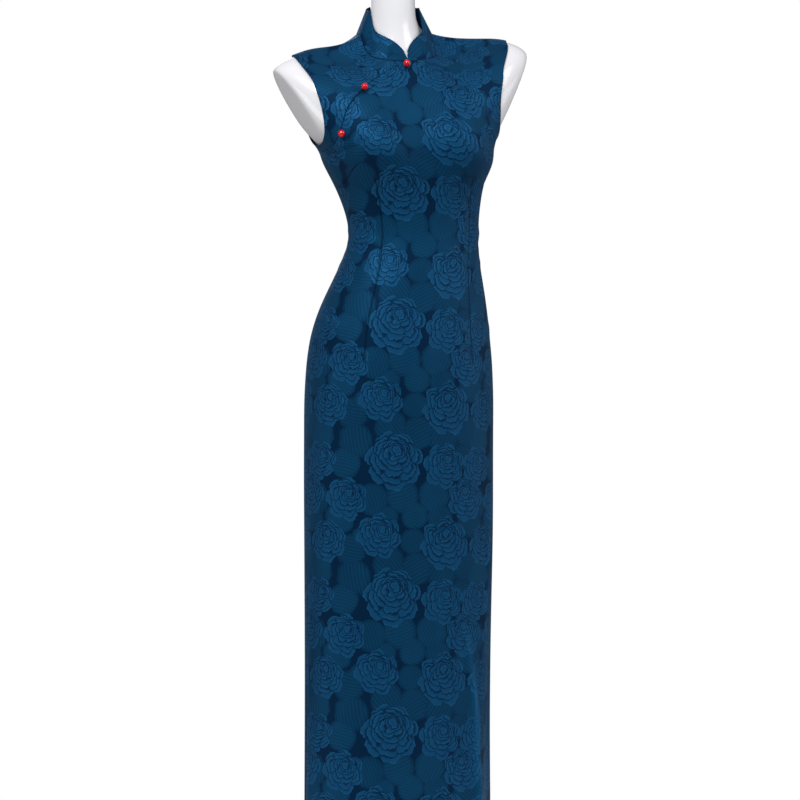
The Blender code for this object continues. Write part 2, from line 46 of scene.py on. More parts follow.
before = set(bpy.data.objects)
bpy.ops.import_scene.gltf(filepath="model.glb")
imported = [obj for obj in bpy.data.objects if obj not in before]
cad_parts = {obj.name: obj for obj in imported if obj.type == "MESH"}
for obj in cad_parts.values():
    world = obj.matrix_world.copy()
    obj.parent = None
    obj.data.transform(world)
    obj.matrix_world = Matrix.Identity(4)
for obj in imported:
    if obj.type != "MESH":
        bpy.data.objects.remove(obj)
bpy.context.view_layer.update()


def rows_of(kind, *rows):
    """Rows of plain values as named ones."""
    return tuple(kind(*row) for row in rows)


# Cloth and seams
CLOTH = 0.0015
SEAM_GAP = 0.0003
FLAP_GAP = 0.0014
UNDERLAP = 0.025  # how far the small right front runs on under the big one
LIFT_REACH = 1.15  # share of the underlap's width over which the big front is lifted in full
LIFT_END = 0.022  # the stretch over which it comes back down past that
LIFT_BELOW = (1.2, 2.4)  # rings below the opening's end between which the lift dies away
SLIT_TOP_Z = 0.520
SLIT_HALF_GAP = 0.004  # at the hem, from the side line to either edge
MERGE, FORM_MERGE = 1e-6, 1e-5
SATIN = "blue_jacquard_satin"  # the look that all the dress's own cloth shares

# Collar
COLLAR_CLOTH = 0.0020
COLLAR_HEIGHT = 0.047
COLLAR_ROUNDING = 0.060  # length of the rounded front end, along the neckline
COLLAR_LEAN = math.radians(25)
COLLAR_AXIS = (-0.07, 0.0, 1.0)  # it stands round the neck, which tips to the wearer's right
COLLAR_FRONT_GAP = 0.0006
COLLAR_END = 0.0008  # height that is left at the two front ends
NECK_STEP = 0.05  # of a ring, over which the way up the cloth is taken
COLLAR_SEAM_NARROW = 0.55  # the painted shade of the seam at its foot is wider than a panel's, by 1 over this

# Rolled edges
ROLL_SEAT = 0.4  # share of its radius by which a roll stands past the cloth that it binds
ROLL_COLLAR_SHARES = (0.009, 0.991)  # where the collar's roll begins and ends along its top
ROLL_COLLAR_POINTS = 260

# Bead fastenings: the height of each on the opening and how far in from the edge it sits
BeadPlace = namedtuple("BeadPlace", "height inset")
BEAD_PLACES = (BeadPlace(1.3685, 0.0178), BeadPlace(1.3256, 0.0018), BeadPlace(1.2515, 0.0060))
BEAD_SEGMENTS, BEAD_RINGS = 56, 36
OPENING_POINTS = 400  # along the opening, the nearest of which a bead sits at
LOOP_RADIUS = 0.0032
LOOP_CORD_RADIUS = 0.0008
LOOP_POINTS = 40

# Dress form and stand
FORM_END_Z = 0.720
STUMP_ROUNDING = 0.003
POLE_RADIUS = 0.016
BASE_RADIUS = 0.180
BASE_THICKNESS = 0.012
BASE_EDGE = 0.004
POLE_SEGMENTS, BASE_SEGMENTS, EDGE_SEGMENTS = 72, 144, 5
LEVEL = 1e-6  # an edge is level when its ends are this near in height
BASE_SHARP = 30  # degrees between faces above which an edge of the base stays sharp

# Columns and rows of the grids that the cloth and the form start from
FRONT_COLUMNS, BACK_COLUMNS, UNDERLAP_COLUMNS = 112, 112, 78
COLLAR_COLUMNS, COLLAR_ROWS = 240, 14
FORM_COLUMNS, FORM_ROWS = 160, 240
SNAP = 0.3  # a column that is nearer a panel's side than this share of a step moves onto it

# Cups, darts and the largest folds
BUST_Z = 1.226
BUST_APART = 0.080  # from the middle line to a bust point
BUST_HEIGHT = 0.020
BUST_WIDE = 0.037
BUST_TALL_ABOVE = 0.046
BUST_TALL_BELOW = 0.030

# One row for each ring. x and half_width are across, the y columns are the side line, the middle
# of the front and the middle of the back, and z is the mean height of the two side points. The
# wearer's left side point is tilt above z and the right one tilt below; the middle of the front
# and of the back lie front_drop and back_drop below z. yaw turns the ring about its middle, in
# degrees, fullness is its superellipse power, ease the space between cloth and form and scoop how
# far the front's drop reaches round to the sides, as on a round neckline.
Section = namedtuple(
    "Section",
    "name x half_width y_side y_front y_back z tilt front_drop back_drop yaw fullness ease scoop",
    defaults=(0,),
)
SECTIONS = rows_of(
    Section,
    ("neck_top", -0.0135, 0.0375, 0.006, -0.034, 0.043, 1.555, 0, 0, 0, 0, 2, -0.0015),
    ("neck_mid", -0.0118, 0.0385, 0.006, -0.035, 0.044, 1.5, 0, 0.004, 0, 0, 2, -0.0015),
    ("neck_low", -0.0105, 0.041, 0.007, -0.035, 0.045, 1.468, 0.001, 0.018, -0.005, 0, 2, 0, 0.5),
    ("neck_foot", -0.007, 0.049, 0.011, -0.04, 0.054, 1.446, 0.003, 0.038, -0.01, 0, 2.2, 0.0016, 0.8),
    ("neckline", -0.004, 0.0665, 0.012, -0.053, 0.07, 1.432, 0.004, 0.053, -0.014, 0, 2.8, 0.0028, 1.0),
    ("yoke_high", -0.001, 0.105, 0.012, -0.066, 0.08, 1.4202, 0.009, 0.0625, 0.001, -3, 2.25, 0.0032, 0.75),
    ("yoke_low", 0.001, 0.15, 0.012, -0.082, 0.09, 1.4164, 0.0125, 0.087, 0.023, -5, 2, 0.0026, 0.35),
    ("shoulder_tip", 0.003, 0.19, 0.01, -0.095, 0.099, 1.409, 0.017, 0.106, 0.048, -7, 2, 0.002, 0.1),
    ("shoulder_cap", 0.004, 0.228, 0.007, -0.103, 0.103, 1.387, 0.018, 0.102, 0.054, -7, 1.85, 0.002),
    ("cap_low", 0.005, 0.225, 0.004, -0.109, 0.104, 1.342, 0.015, 0.076, 0.041, -7, 1.85, 0.002),
    ("over_armpit", 0.0065, 0.189, 0.001, -0.1135, 0.103, 1.281, 0.009, 0.034, 0.013, -6, 2.1, 0.002),
    ("armpit", 0.008, 0.154, -0.001, -0.116, 0.101, 1.238, 0.0045, 0.006, 0, -5, 2.5, 0.0028),
    ("bust", 0.01, 0.146, -0.003, -0.1165, 0.0965, 1.209, 0, 0, 0, -4, 2.45, 0.003),
    ("under_bust", 0.012, 0.1335, -0.005, -0.112, 0.088, 1.178, 0, 0, 0, -2.5, 2.4, 0.003),
    ("ribs", 0.0165, 0.1245, -0.006, -0.103, 0.08, 1.146, 0, 0, 0, -1, 2.25, 0.0026),
    ("waist_high", 0.0205, 0.118, -0.007, -0.0955, 0.0725, 1.1115, 0, 0, 0, 0, 2.15, 0.003),
    ("waist", 0.0222, 0.1165, -0.007, -0.092, 0.068, 1.077, 0, 0, 0, 0, 2.1, 0.003),
    ("waist_low", 0.0185, 0.122, -0.005, -0.0945, 0.073, 1.042, 0, 0, 0, 0, 2.1, 0.003),
    ("high_hip", 0.014, 0.1325, -0.002, -0.099, 0.082, 1.007, 0, 0, 0, 0, 2.1, 0.0028),
    ("belly", 0.0092, 0.144, 0.001, -0.103, 0.094, 0.972, 0, 0, 0, 0, 2.1, 0.0026),
    ("hip_high", 0.005, 0.1535, 0.003, -0.1065, 0.1065, 0.937, 0, 0, 0, 0, 2.1, 0.0024),
    ("hip", 0.0026, 0.16, 0.005, -0.109, 0.117, 0.903, 0, 0, 0, 0, 2.1, 0.0024),
    ("seat", 0.0018, 0.164, 0.006, -0.11, 0.1245, 0.868, 0, 0, 0, 0, 2.15, 0.0026),
    ("seat_low", 0.0013, 0.1667, 0.006, -0.1095, 0.1265, 0.832, 0, 0, 0, 0, 2.15, 0.0035),
    ("thigh_high", 0.0008, 0.168, 0.006, -0.108, 0.1255, 0.788, 0, 0, 0, 0, 2.2, 0.006),
    ("thigh", 0.0004, 0.1684, 0.006, -0.106, 0.1215, 0.732, 0, 0, 0, 0, 2.2, 0.01),
    ("skirt_1", 0.0001, 0.1684, 0.006, -0.1035, 0.116, 0.656, 0, 0, 0, 0, 2.25, 0.015),
    ("skirt_2", -0.0003, 0.1678, 0.005, -0.1005, 0.111, 0.556, 0, 0, 0, 0, 2.3, 0.015),
    ("skirt_3", -0.0016, 0.1668, 0.005, -0.0985, 0.1075, 0.44, 0, 0, 0, 0, 2.3, 0.015),
    ("skirt_4", -0.0034, 0.166, 0.004, -0.0972, 0.105, 0.32, 0, 0, 0, 0, 2.3, 0.015),
    ("skirt_5", -0.0048, 0.166, 0.003, -0.0962, 0.1025, 0.2, 0, 0, 0, 0, 2.3, 0.015),
    ("hem", -0.005, 0.1668, 0.003, -0.0955, 0.1, 0.075, 0, 0, 0, 0, 2.3, 0.015),
)
RING = {section.name: index for index, section in enumerate(SECTIONS)}
NECKLINE, TIP, ARMPIT, HEM = (RING[n] for n in ("neckline", "shoulder_tip", "armpit", "hem"))
SCOOP_ROOM = 0.16  # the less it is, the steeper the round neckline is at the sides

# The opening of the big front, from the neckline down to the wearer's right side seam
OpeningPoint = namedtuple("OpeningPoint", "z x")
OPENING = rows_of(
    OpeningPoint,
    (1.3810, -0.004),
    (1.3700, -0.028),
    (1.3570, -0.049),
    (1.3400, -0.075),
    (1.3200, -0.0985),
    (1.2940, -0.1200),
    (1.2640, -0.1297),
    (1.2380, -0.1352),
    (1.2130, -0.1450),
)
OPENING_END = float(
    np.interp(-OPENING[-1].z, [-s.z for s in SECTIONS[ARMPIT:]], range(ARMPIT, HEM + 1))
)

# The armhole's edge, a row every half ring from the shoulder tip to the armpit: how far out from
# the ring's middle the front and the back are cut
ArmholePoint = namedtuple("ArmholePoint", "front back")
ARMHOLE = rows_of(
    ArmholePoint,
    (0.1900, 0.1900),
    (0.1700, 0.1780),
    (0.1648, 0.1750),
    (0.1608, 0.1720),
    (0.1575, 0.1680),
    (0.1556, 0.1640),
    (0.1545, 0.1600),
    (0.1540, 0.1565),
    (0.1540, 0.1540),
)

# The planes that cut the form's shoulder stumps: a point on each, and its outward normal
Stump = namedtuple("Stump", "x z slope")
STUMPS = (Stump(-0.2230, 1.366, math.radians(30)), Stump(0.2280, 1.402, math.radians(26)))
STUMP_FADE_Z = (1.215, 1.245)  # the cut planes end here, at the armpits

# The skirt's soft upright folds: turn in degrees, how wide, how far they stand out at the hem,
# and the height at which they begin
Fold = namedtuple("Fold", "turn wide out top_z")
FOLDS = rows_of(
    Fold,
    (-78, 7.0, 0.0030, 0.60),
    (-62, 9.0, -0.0030, 0.48),
    (-30, 15.0, 0.0022, 0.50),
    (12, 14.0, -0.0018, 0.42),
    (46, 7.5, 0.0055, 0.58),
    (62, 8.0, -0.0050, 0.60),
    (81, 7.0, 0.0030, 0.62),
    (112, 9.0, -0.0040, 0.56),
    (128, 8.0, 0.0050, 0.60),
    (160, 14.0, 0.0030, 0.55),
    (-158, 13.0, -0.0028, 0.50),
    (-130, 9.0, 0.0045, 0.58),
    (-110, 8.0, -0.0035, 0.60),
)


def natural_spline(values):
    """Second derivatives of the natural cubic spline through each column, one row a step."""
    count = len(values)
    matrix = np.eye(count)
    for i in range(1, count - 1):
        matrix[i, i - 1 : i + 2] = (1, 4, 1)
    bend = np.zeros_like(values)
    bend[1:-1] = 6 * (values[2:] - 2 * values[1:-1] + values[:-2])
    return np.linalg.solve(matrix, bend)


class Spline:
    """A smooth curve through each column of a table, at any place between its rows."""

    def __init__(self, table):
        self.rows = np.array(table, float)
        self.bends = natural_spline(self.rows)

    def __call__(self, place):
        place = np.clip(place, 0, len(self.rows) - 1)
        low = np.minimum(place.astype(int), len(self.rows) - 2)
        b = (place - low)[..., None]
        a = 1 - b
        bend = ((a**3 - a) * self.bends[low] + (b**3 - b) * self.bends[low + 1]) / 6
        return np.moveaxis(a * self.rows[low] + b * self.rows[low + 1] + bend, -1, 0)


section_at = Spline([section[1:] for section in SECTIONS])
armhole_at = Spline(ARMHOLE)
opening_at = Spline(OPENING)

QUARTERS = np.radians([0, 90, 180, 270])


def unit(vectors):
    return vectors / np.linalg.norm(vectors, axis=-1, keepdims=True)


def smooth_step(low, high, value):
    share = np.clip((value - low) / (high - low), 0, 1)
    return share * share * (3 - 2 * share)


def local(ring, turn):
    """How far out across and how far back from its middle a point of a ring lies."""
    _, half, y_side, y_front, y_back, *_, power, _, _ = section_at(ring)
    across, ahead = np.sin(turn), np.cos(turn)
    full = (np.abs(across) ** power + np.abs(ahead) ** power) ** (-1 / power)
    depth = np.where(ahead > 0, y_side - y_front, y_back - y_side)
    return half * across * full, -depth * ahead * full


def body(ring, turn):
    """The shared surface, without cups and folds."""
    x, _, y_side, _, _, z, tilt, front_drop, back_drop, yaw, *_, scoop = section_at(ring)
    out, back = local(ring, turn)
    cos, sin = np.cos(np.radians(yaw)), np.sin(np.radians(yaw))
    ahead = np.cos(turn)
    level = ahead**2
    scooped = scoop * level * (1 + SCOOP_ROOM) / (level + SCOOP_ROOM) + (1 - scoop) * level
    height = z + tilt * np.sin(turn) - np.where(ahead > 0, front_drop * scooped, back_drop * level)
    return np.stack([x + cos * out - sin * back, y_side + sin * out + cos * back, height], axis=-1)


def normal(ring, turn):
    """The outward direction of the shared surface."""
    step = 1e-3
    along = body(ring + step, turn) - body(ring - step, turn)
    around = body(ring, turn + step) - body(ring, turn - step)
    return unit(np.cross(along, around))


def cups(ring, turn):
    """How far the bust darts push the front out."""
    out, _ = local(ring, turn)
    height = body(ring, turn)[..., 2] - BUST_Z
    tall = np.where(height > 0, BUST_TALL_ABOVE, BUST_TALL_BELOW)
    sides = sum(np.exp(-(((out - side * BUST_APART) / BUST_WIDE) ** 2) / 2) for side in (-1, 1))
    in_front = smooth_step(0.0, 0.5, np.cos(turn))
    return BUST_HEIGHT * np.exp(-((height / tall) ** 2) / 2) * sides * in_front


def folds(point, turn):
    """How far the skirt's folds stand out, or in where it is negative."""
    out = np.zeros_like(turn)
    for fold in FOLDS:
        away = np.degrees(np.angle(np.exp(1j * (turn - math.radians(fold.turn)))))
        grown = smooth_step(fold.top_z, SECTIONS[HEM].z, point[..., 2])
        out += fold.out * grown * np.exp(-((away / fold.wide) ** 2) / 2)
    return out


def dressed(ring, turn, out):
    """A point out beyond the garment's surface, or inside it where out is negative."""
    base = body(ring, turn)
    swell = cups(ring, turn) + folds(base, turn)
    return base + normal(ring, turn) * (out + swell)[..., None]


def spaced_rings(first, last, count, path):
    """Rings from first to last, evenly spaced by length along the path that a ring gives."""
    rings = np.linspace(first, last, 400)
    steps = np.linalg.norm(np.diff(path(rings), axis=0), axis=-1)
    steps = steps if steps.ndim == 1 else steps.max(axis=-1)
    along = np.concatenate([[0], np.cumsum(steps)])
    return np.interp(np.linspace(0, along[-1], count), along, rings)


def four_ways(rings):
    """The front, back and side points of each ring."""
    return np.stack([body(rings, np.full_like(rings, turn)) for turn in QUARTERS], axis=1)


def crossing(ring, low, high, outside):
    """The turn between low and high at which outside(ring, turn) stops being true."""
    low, high = np.full_like(ring, low), np.full_like(ring, high)
    for _ in range(40):
        middle = (low + high) / 2
        keep = outside(ring, middle)
        low, high = np.where(keep, middle, low), np.where(keep, high, middle)
    return (low + high) / 2


def armhole_edge(ring, side, facing):
    """The turn of the armhole's edge. side is +1 on the wearer's left, facing +1 in front."""
    cut = armhole_at(2 * (ring - TIP))[0 if facing > 0 else 1]
    start = 0.0 if facing > 0 else side * math.pi
    edge = crossing(ring, start, side * math.pi / 2, lambda r, t: np.abs(local(r, t)[0]) < cut)
    inside = (ring > TIP) & (ring < ARMPIT)
    return np.where(inside, edge, side * math.pi / 2)


def panel_side(ring, side, facing, slit=True):
    """The turn of a panel's side: shoulder seam, armhole, side seam and slit, less half the gap."""
    _, _, y_side, y_front, y_back, z, *_ = section_at(ring)
    depth = y_side - y_front if facing > 0 else y_back - y_side
    opened = SLIT_HALF_GAP * np.clip((SLIT_TOP_Z - z) / (SLIT_TOP_Z - SECTIONS[HEM].z), 0, 1)
    gap = (SEAM_GAP / 2 + (opened if slit else 0)) / depth
    on_armhole = (ring > TIP) & (ring < ARMPIT)
    back_off = np.where(on_armhole, 0, gap) * side * facing
    return armhole_edge(ring, side, facing) - back_off


OPENING_Z, OPENING_X = opening_at(np.linspace(len(OPENING) - 1, 0, 200))


def opening_edge(ring):
    """The turn of the opening: the middle of the front at the neckline, the side seam below."""

    def inside(ring, turn):
        point = body(ring, turn)
        return point[..., 0] > np.interp(point[..., 2], OPENING_Z, OPENING_X)

    side = panel_side(ring, -1, 1)
    found = crossing(ring, math.radians(2), -math.pi / 2, inside)
    return np.where(ring < OPENING_END, np.maximum(found, side), side)


def turn_for(ring, length):
    """The turn that spans a length on the front, at each ring."""
    _, half, y_side, y_front, *_ = section_at(ring)
    return length / np.sqrt((half**2 + (y_side - y_front) ** 2) / 2)


def flap_lift(ring, turn):
    """How far the big front stands off the shared surface, to lie on the underlap."""
    edge = opening_edge(ring)
    near = turn_for(ring, UNDERLAP * LIFT_REACH)
    far = turn_for(ring, UNDERLAP * LIFT_REACH + LIFT_END)
    sideways = 1 - smooth_step(0, 1, (turn - edge - near) / (far - near))
    downwards = 1 - smooth_step(OPENING_END + LIFT_BELOW[0], OPENING_END + LIFT_BELOW[1], ring)
    return (CLOTH + FLAP_GAP) * sideways * downwards


# ---- creases, darts and the pattern's own table of sizes ----

# A soft ridge, or a trough where height is negative, from one end to the other. across is measured
# along the cloth from the middle of the front or back, + towards the wearer's left.
Crease = namedtuple("Crease", "across_1 z_1 across_2 z_2 wide height")
FRONT_CREASES = rows_of(
    Crease,
    (-0.165, 1.085, -0.085, 1.068, 0.0065, 0.0012),
    (-0.160, 1.062, -0.075, 1.052, 0.0060, -0.0009),
    (-0.160, 1.040, -0.090, 1.034, 0.0070, 0.0010),
    (0.165, 1.098, 0.100, 1.074, 0.0070, 0.0012),
    (0.160, 1.072, 0.095, 1.058, 0.0060, -0.0009),
    (0.165, 1.040, 0.110, 1.030, 0.0075, 0.0010),
    (-0.215, 0.955, -0.130, 0.915, 0.0100, 0.0012),
    (-0.210, 0.905, -0.120, 0.860, 0.0110, -0.0010),
    (0.200, 0.930, 0.120, 0.895, 0.0110, 0.0011),
    (-0.155, 1.225, -0.105, 1.262, 0.0065, 0.0010),
    (0.170, 1.235, 0.125, 1.275, 0.0070, 0.0011),
    (0.150, 1.255, 0.115, 1.305, 0.0065, -0.0008),
    (-0.040, 1.215, 0.040, 1.205, 0.0110, -0.0010),
    (0.092, 0.410, 0.126, 0.205, 0.0060, 0.0042),
    (0.112, 0.310, 0.137, -0.060, 0.0065, 0.0050),
    (0.160, 0.650, 0.140, 0.370, 0.0045, 0.0034),
    (-0.190, 0.560, -0.196, 0.110, 0.0120, -0.0012),
)
BACK_CREASES = rows_of(
    Crease,
    (-0.155, 1.090, -0.070, 1.072, 0.0070, 0.0012),
    (-0.150, 1.066, -0.060, 1.056, 0.0065, -0.0010),
    (-0.155, 1.036, -0.080, 1.032, 0.0075, 0.0011),
    (0.155, 1.094, 0.065, 1.070, 0.0070, 0.0012),
    (0.150, 1.060, 0.070, 1.048, 0.0065, -0.0010),
    (0.158, 1.030, 0.085, 1.022, 0.0080, 0.0011),
    (-0.185, 0.900, -0.095, 0.865, 0.0120, 0.0012),
    (0.185, 0.905, 0.095, 0.860, 0.0120, 0.0012),
    (-0.060, 1.370, -0.120, 1.330, 0.0100, 0.0010),
    (0.060, 1.370, 0.125, 1.335, 0.0100, 0.0010),
    (-0.130, 1.235, -0.085, 1.290, 0.0080, -0.0009),
    (0.135, 1.240, 0.090, 1.290, 0.0080, 0.0010),
    (-0.090, 0.560, -0.105, 0.100, 0.0170, 0.0016),
    (0.110, 0.580, 0.120, 0.100, 0.0150, -0.0014),
)
CREASE_TAPER = 0.8  # the less it is, the blunter a crease's two ends are
CREASE_START, CREASE_WIDENING = 0.75, 0.5  # shares of its width

# A pair of darts: how far out from the middle their seam lies at each height
DartPoint = namedtuple("DartPoint", "z out")
FRONT_DART = rows_of(
    DartPoint,
    (0.850, 0.1010),
    (0.919, 0.0950),
    (0.963, 0.0895),
    (1.024, 0.0815),
    (1.077, 0.0800),
    (1.130, 0.0828),
    (1.186, 0.0870),
)
BACK_DART = rows_of(
    DartPoint,
    (0.905, 0.0800),
    (0.980, 0.0720),
    (1.077, 0.0660),
    (1.150, 0.0690),
    (1.215, 0.0740),
)
BustDartPoint = namedtuple("BustDartPoint", "out z")
BUST_DART = rows_of(
    BustDartPoint,
    (0.1010, 1.2060),
    (0.1100, 1.1975),
    (0.1181, 1.1880),
    (0.1290, 1.1600),
)
DART_FADE = 0.012
RIDGE_HEIGHT, RIDGE_PAINTED_SHEEN = 0.0055, 0.34  # a crease this high is painted lighter by this tone, as painted sheen, and a trough as deep is painted darker by as much, as painted shade
DART_TROUGH = 0.0011
DART_TROUGH_WIDE = 0.0065

# The jacquard's repeat, charted in metres: each motif's middle, radius and turn in degrees
REPEAT = (0.300, 0.233)
# Where each piece lies on the chart: its middle line at the waist and, on the collar, its foot
FRONT_ON_CHART = (0.200, 0.023)
UNDERLAP_ON_CHART = (0.052, 0.087)
BACK_ON_CHART = (0.031, 0.140)
COLLAR_ON_CHART = 0.115
Motif = namedtuple("Motif", "x y size turn")
ROSES = rows_of(
    Motif,
    (0.128, 0.202, 0.0390, 8),
    (0.248, 0.191, 0.0480, -18),
    (0.152, 0.098, 0.0510, -6),
    (0.244, 0.092, 0.0400, 16),
    (0.290, 0.034, 0.0390, -24),
    (0.070, 0.029, 0.0380, 12),
    (0.034, 0.188, 0.0370, -10),
    (0.016, 0.092, 0.0350, 22),
)
LEAVES = rows_of(
    Motif,
    (0.116, 0.031, 0.0290, 70),
    (0.167, 0.038, 0.0300, 160),
    (0.190, 0.006, 0.0250, 20),
    (0.225, 0.040, 0.0300, 300),
    (0.237, 0.004, 0.0250, 110),
    (0.187, 0.194, 0.0240, 210),
    (0.146, 0.156, 0.0300, 50),
    (0.194, 0.148, 0.0300, 330),
    (0.242, 0.143, 0.0310, 120),
    (0.085, 0.130, 0.0310, 260),
    (0.068, 0.090, 0.0280, 10),
    (0.078, 0.174, 0.0280, 190),
    (0.018, 0.138, 0.0300, 90),
    (0.058, 0.228, 0.0280, 240),
    (0.290, 0.152, 0.0290, 140),
    (0.299, 0.228, 0.0290, 40),
    (0.010, 0.026, 0.0300, 280),
    (0.283, 0.108, 0.0240, 200),
    (0.100, 0.196, 0.0210, 320),
    (0.142, 0.003, 0.0190, 150),
)
ROSE_EYE = (0.14, 0.40)  # where the eye lies, as a share of the rose's radius
# Tones of the woven motifs, from 0 for the ground to about 0.8 for the lightest threads
PETAL_TONE, PETAL_RIM, PETAL_VEINS = 0.43, 0.23, 0.018
LEAF_TONE, LEAF_HATCH, LEAF_DRIFT = 0.30, 0.055, 0.035
ROLL_TONE = 0.20
VEINS_ROUND, HATCH_ROWS = 31.0, 32.0
SCALLOP = 0.17  # how deep a ring of petals is notched, as a share of its radius
# Heights, in metres, of the lightest threads, of the finest ones and of a sewn line
MOTIF_RELIEF, THREAD_RELIEF, SEAM_DEPTH = 0.00020, 0.00006, 0.0008
SEAM_SHADE_MAPS = (("dart", 0.62), ("bust_dart", 0.90), ("edge", 0.72))  # with how dark the painted shade along each is
BUMP_STRENGTH = 0.8  # share of those heights that the light shows
FULL_TONE = 0.46  # from this tone on the cloth has its whole colour
RIM_TONES = (0.42, 0.80)  # between these it takes on the lightest threads' colour
SATIN_ROUGHNESS = (0.60, 0.48)  # of the ground and of the lightest threads
SATIN_SHINE = {"Specular_IOR_Level": 0.27, "Sheen_Weight": 0.10, "Sheen_Roughness": 0.40}
# Cells a metre of the noise across and along the warp, for its fine lines and its thick places
WARP_SCALE, SLUB_SCALE = (1500.0, 190.0, 1.0), (26.0, 11.0, 1.0)
WARP_TONE, SLUB_TONE = 0.12, 0.14
# A rose's rings of petals, from the outside in: radius as a share of the rose's, how many
# petals and the angle of the first
PetalRing = namedtuple("PetalRing", "size count first")
PETAL_RINGS = rows_of(
    PetalRing,
    (1.00, 7, 0.4),
    (0.83, 6, 1.5),
    (0.67, 6, 0.3),
    (0.52, 5, 1.2),
    (0.39, 5, 0.2),
    (0.27, 4, 1.3),
    (0.16, 3, 0.5),
)

# Stage: camera to the wearer's right of the middle and level, soft boxes round the form
SENSOR = 36.0
FRAME_PIXELS = 800
PIXELS_PER_METRE = 575
VIEW_DISTANCE = 6.0
VIEW_TURN = -20
LOOK_AT = (0.0, 0.0, 0.795)
FLOOR_RADIUS = 0.80
FLOOR_SEGMENTS = 96
FLOOR_COLOUR = (0.9, 0.9, 0.9)
Light = namedtuple("Light", "name place size power")
LIGHTS = rows_of(
    Light,
    ("key", (-1.4, -2.0, 3.2), 1.4, 88),
    ("fill", (2.1, -2.2, 2.7), 1.8, 36),
    ("right_side", (-3.2, -0.7, 0.7), 1.2, 12),
    ("left_side", (3.0, -0.9, 1.1), 1.2, 8),
    ("rim", (0.5, 3.2, 2.6), 2.0, 26),
)
LIGHT_AIM_Z = 1.20  # on the middle line, where every light is aimed
# How bright the surroundings are to the camera, as soft light and in a shine
SURROUND_WHITE, SURROUND_GLOW, SURROUND_SHINE = 1.0, 0.54, 0.16

# Moulded and painted finishes: roughness, how much it varies and how finely, in cells a metre
Finish = namedtuple("Finish", "roughness mottle scale")
BEAD_FINISH = Finish(0.10, 0.02, 60.0)
FORM_FINISH = Finish(0.20, 0.03, 14.0)
STAND_FINISH = Finish(0.32, 0.05, 30.0)
TINT_DARKEST = 0.93  # share of the colour where the mottle is darkest


def looks():
    return bpy.context.scene.cheongsam_looks


def sizes():
    return bpy.context.scene.cheongsam_sizes


# ---- places on the cloth ----


def rings_between(names, counts):
    """Rings of a fine grid: so many between each pair of the named ones."""
    parts = [spaced_rings(a, b, n + 1, four_ways)[:-1] for a, b, n in zip(names, names[1:], counts)]
    return np.concatenate([*parts, [float(names[-1])]])


CLOTH_RINGS = rings_between(
    (NECKLINE, TIP, ARMPIT, RING["waist"], RING["seat"], HEM), (26, 62, 44, 52, 136)
)
ARC_RINGS = np.linspace(NECKLINE, HEM, 560)
ARC_TURNS = np.radians(np.arange(-180, 271, 2.0))


def lengths_across(points):
    """Length along the cloth from the middle of the front, at every ring and turn."""
    steps = np.hypot(*np.moveaxis(np.diff(points[..., :2], axis=1), -1, 0))
    along = np.concatenate([np.zeros((len(points), 1)), np.cumsum(steps, axis=1)], axis=1)
    return along - along[:, [np.abs(ARC_TURNS).argmin()]]


def lengths_down(points):
    """Length up the cloth from the waist, at every ring and turn."""
    steps = np.linalg.norm(np.diff(points, axis=0), axis=-1)
    along = np.concatenate([np.zeros((1, points.shape[1])), np.cumsum(steps, axis=0)])
    return along[[np.abs(ARC_RINGS - RING["waist"]).argmin()]] - along


ARC_POINTS = body(*np.meshgrid(ARC_RINGS, ARC_TURNS, indexing="ij"))
ACROSS, UPWARD = lengths_across(ARC_POINTS), lengths_down(ARC_POINTS)
EDGE_RINGS = np.linspace(NECKLINE, OPENING_END, 200)
EDGE_TURNS = opening_edge(EDGE_RINGS)


def from_table(table, ring, turn):
    """A value between the entries of a table over ARC_RINGS and ARC_TURNS."""
    i = np.interp(ring, ARC_RINGS, np.arange(len(ARC_RINGS)))
    j = np.interp(turn, ARC_TURNS, np.arange(len(ARC_TURNS)))
    a = np.minimum(i.astype(int), len(ARC_RINGS) - 2)
    b = np.minimum(j.astype(int), len(ARC_TURNS) - 2)
    s, t = i - a, j - b
    low = table[a, b] * (1 - t) + table[a, b + 1] * t
    high = table[a + 1, b] * (1 - t) + table[a + 1, b + 1] * t
    return low * (1 - s) + high * s


def cloth_place(ring, turn, facing):
    """Lengths across from the panel's middle line and up from the waist."""
    middle = from_table(ACROSS, ring, np.full_like(ring, 0 if facing > 0 else math.pi))
    return from_table(ACROSS, ring, turn) - middle, from_table(UPWARD, ring, turn)


def creased(ring, turn, facing):
    """How far the creases lift the cloth."""
    across, _ = cloth_place(ring, turn, facing)
    height = body(ring, turn)[..., 2]
    lift = np.zeros_like(ring)
    for crease in FRONT_CREASES if facing > 0 else BACK_CREASES:
        start = np.array([crease.across_1, crease.z_1])
        run = np.array([crease.across_2, crease.z_2]) - start
        long = np.hypot(*run)
        along = ((across - start[0]) * run[0] + (height - start[1]) * run[1]) / long
        aside = ((across - start[0]) * run[1] - (height - start[1]) * run[0]) / long
        share = np.clip(along / long, 0, 1)
        taper = np.sin(np.pi * share) ** CREASE_TAPER
        wide = crease.wide * (CREASE_START + CREASE_WIDENING * share)
        lift += crease.height * taper * np.exp(-((aside / wide) ** 2))
    return lift * sizes().crease_depth


def darts(ring, turn, facing):
    """Distance from the upright dart's seam with how much of it is there, and the same for the
    bust dart."""
    out = np.abs(local(ring, turn)[0])
    height = body(ring, turn)[..., 2]
    dart = FRONT_DART if facing > 0 else BACK_DART
    z, line = np.array(dart).T
    upright = out - np.interp(height, z, line)
    there = smooth_step(z[0], z[0] + DART_FADE, height)
    there *= smooth_step(-z[-1], DART_FADE - z[-1], -height)
    if facing < 0:
        return upright, there, np.ones_like(ring), np.zeros_like(ring)
    reach, rise = np.array(BUST_DART).T
    bust = height - np.interp(out, reach, rise)
    return upright, there, bust, smooth_step(reach[0], reach[0] + DART_FADE, out)


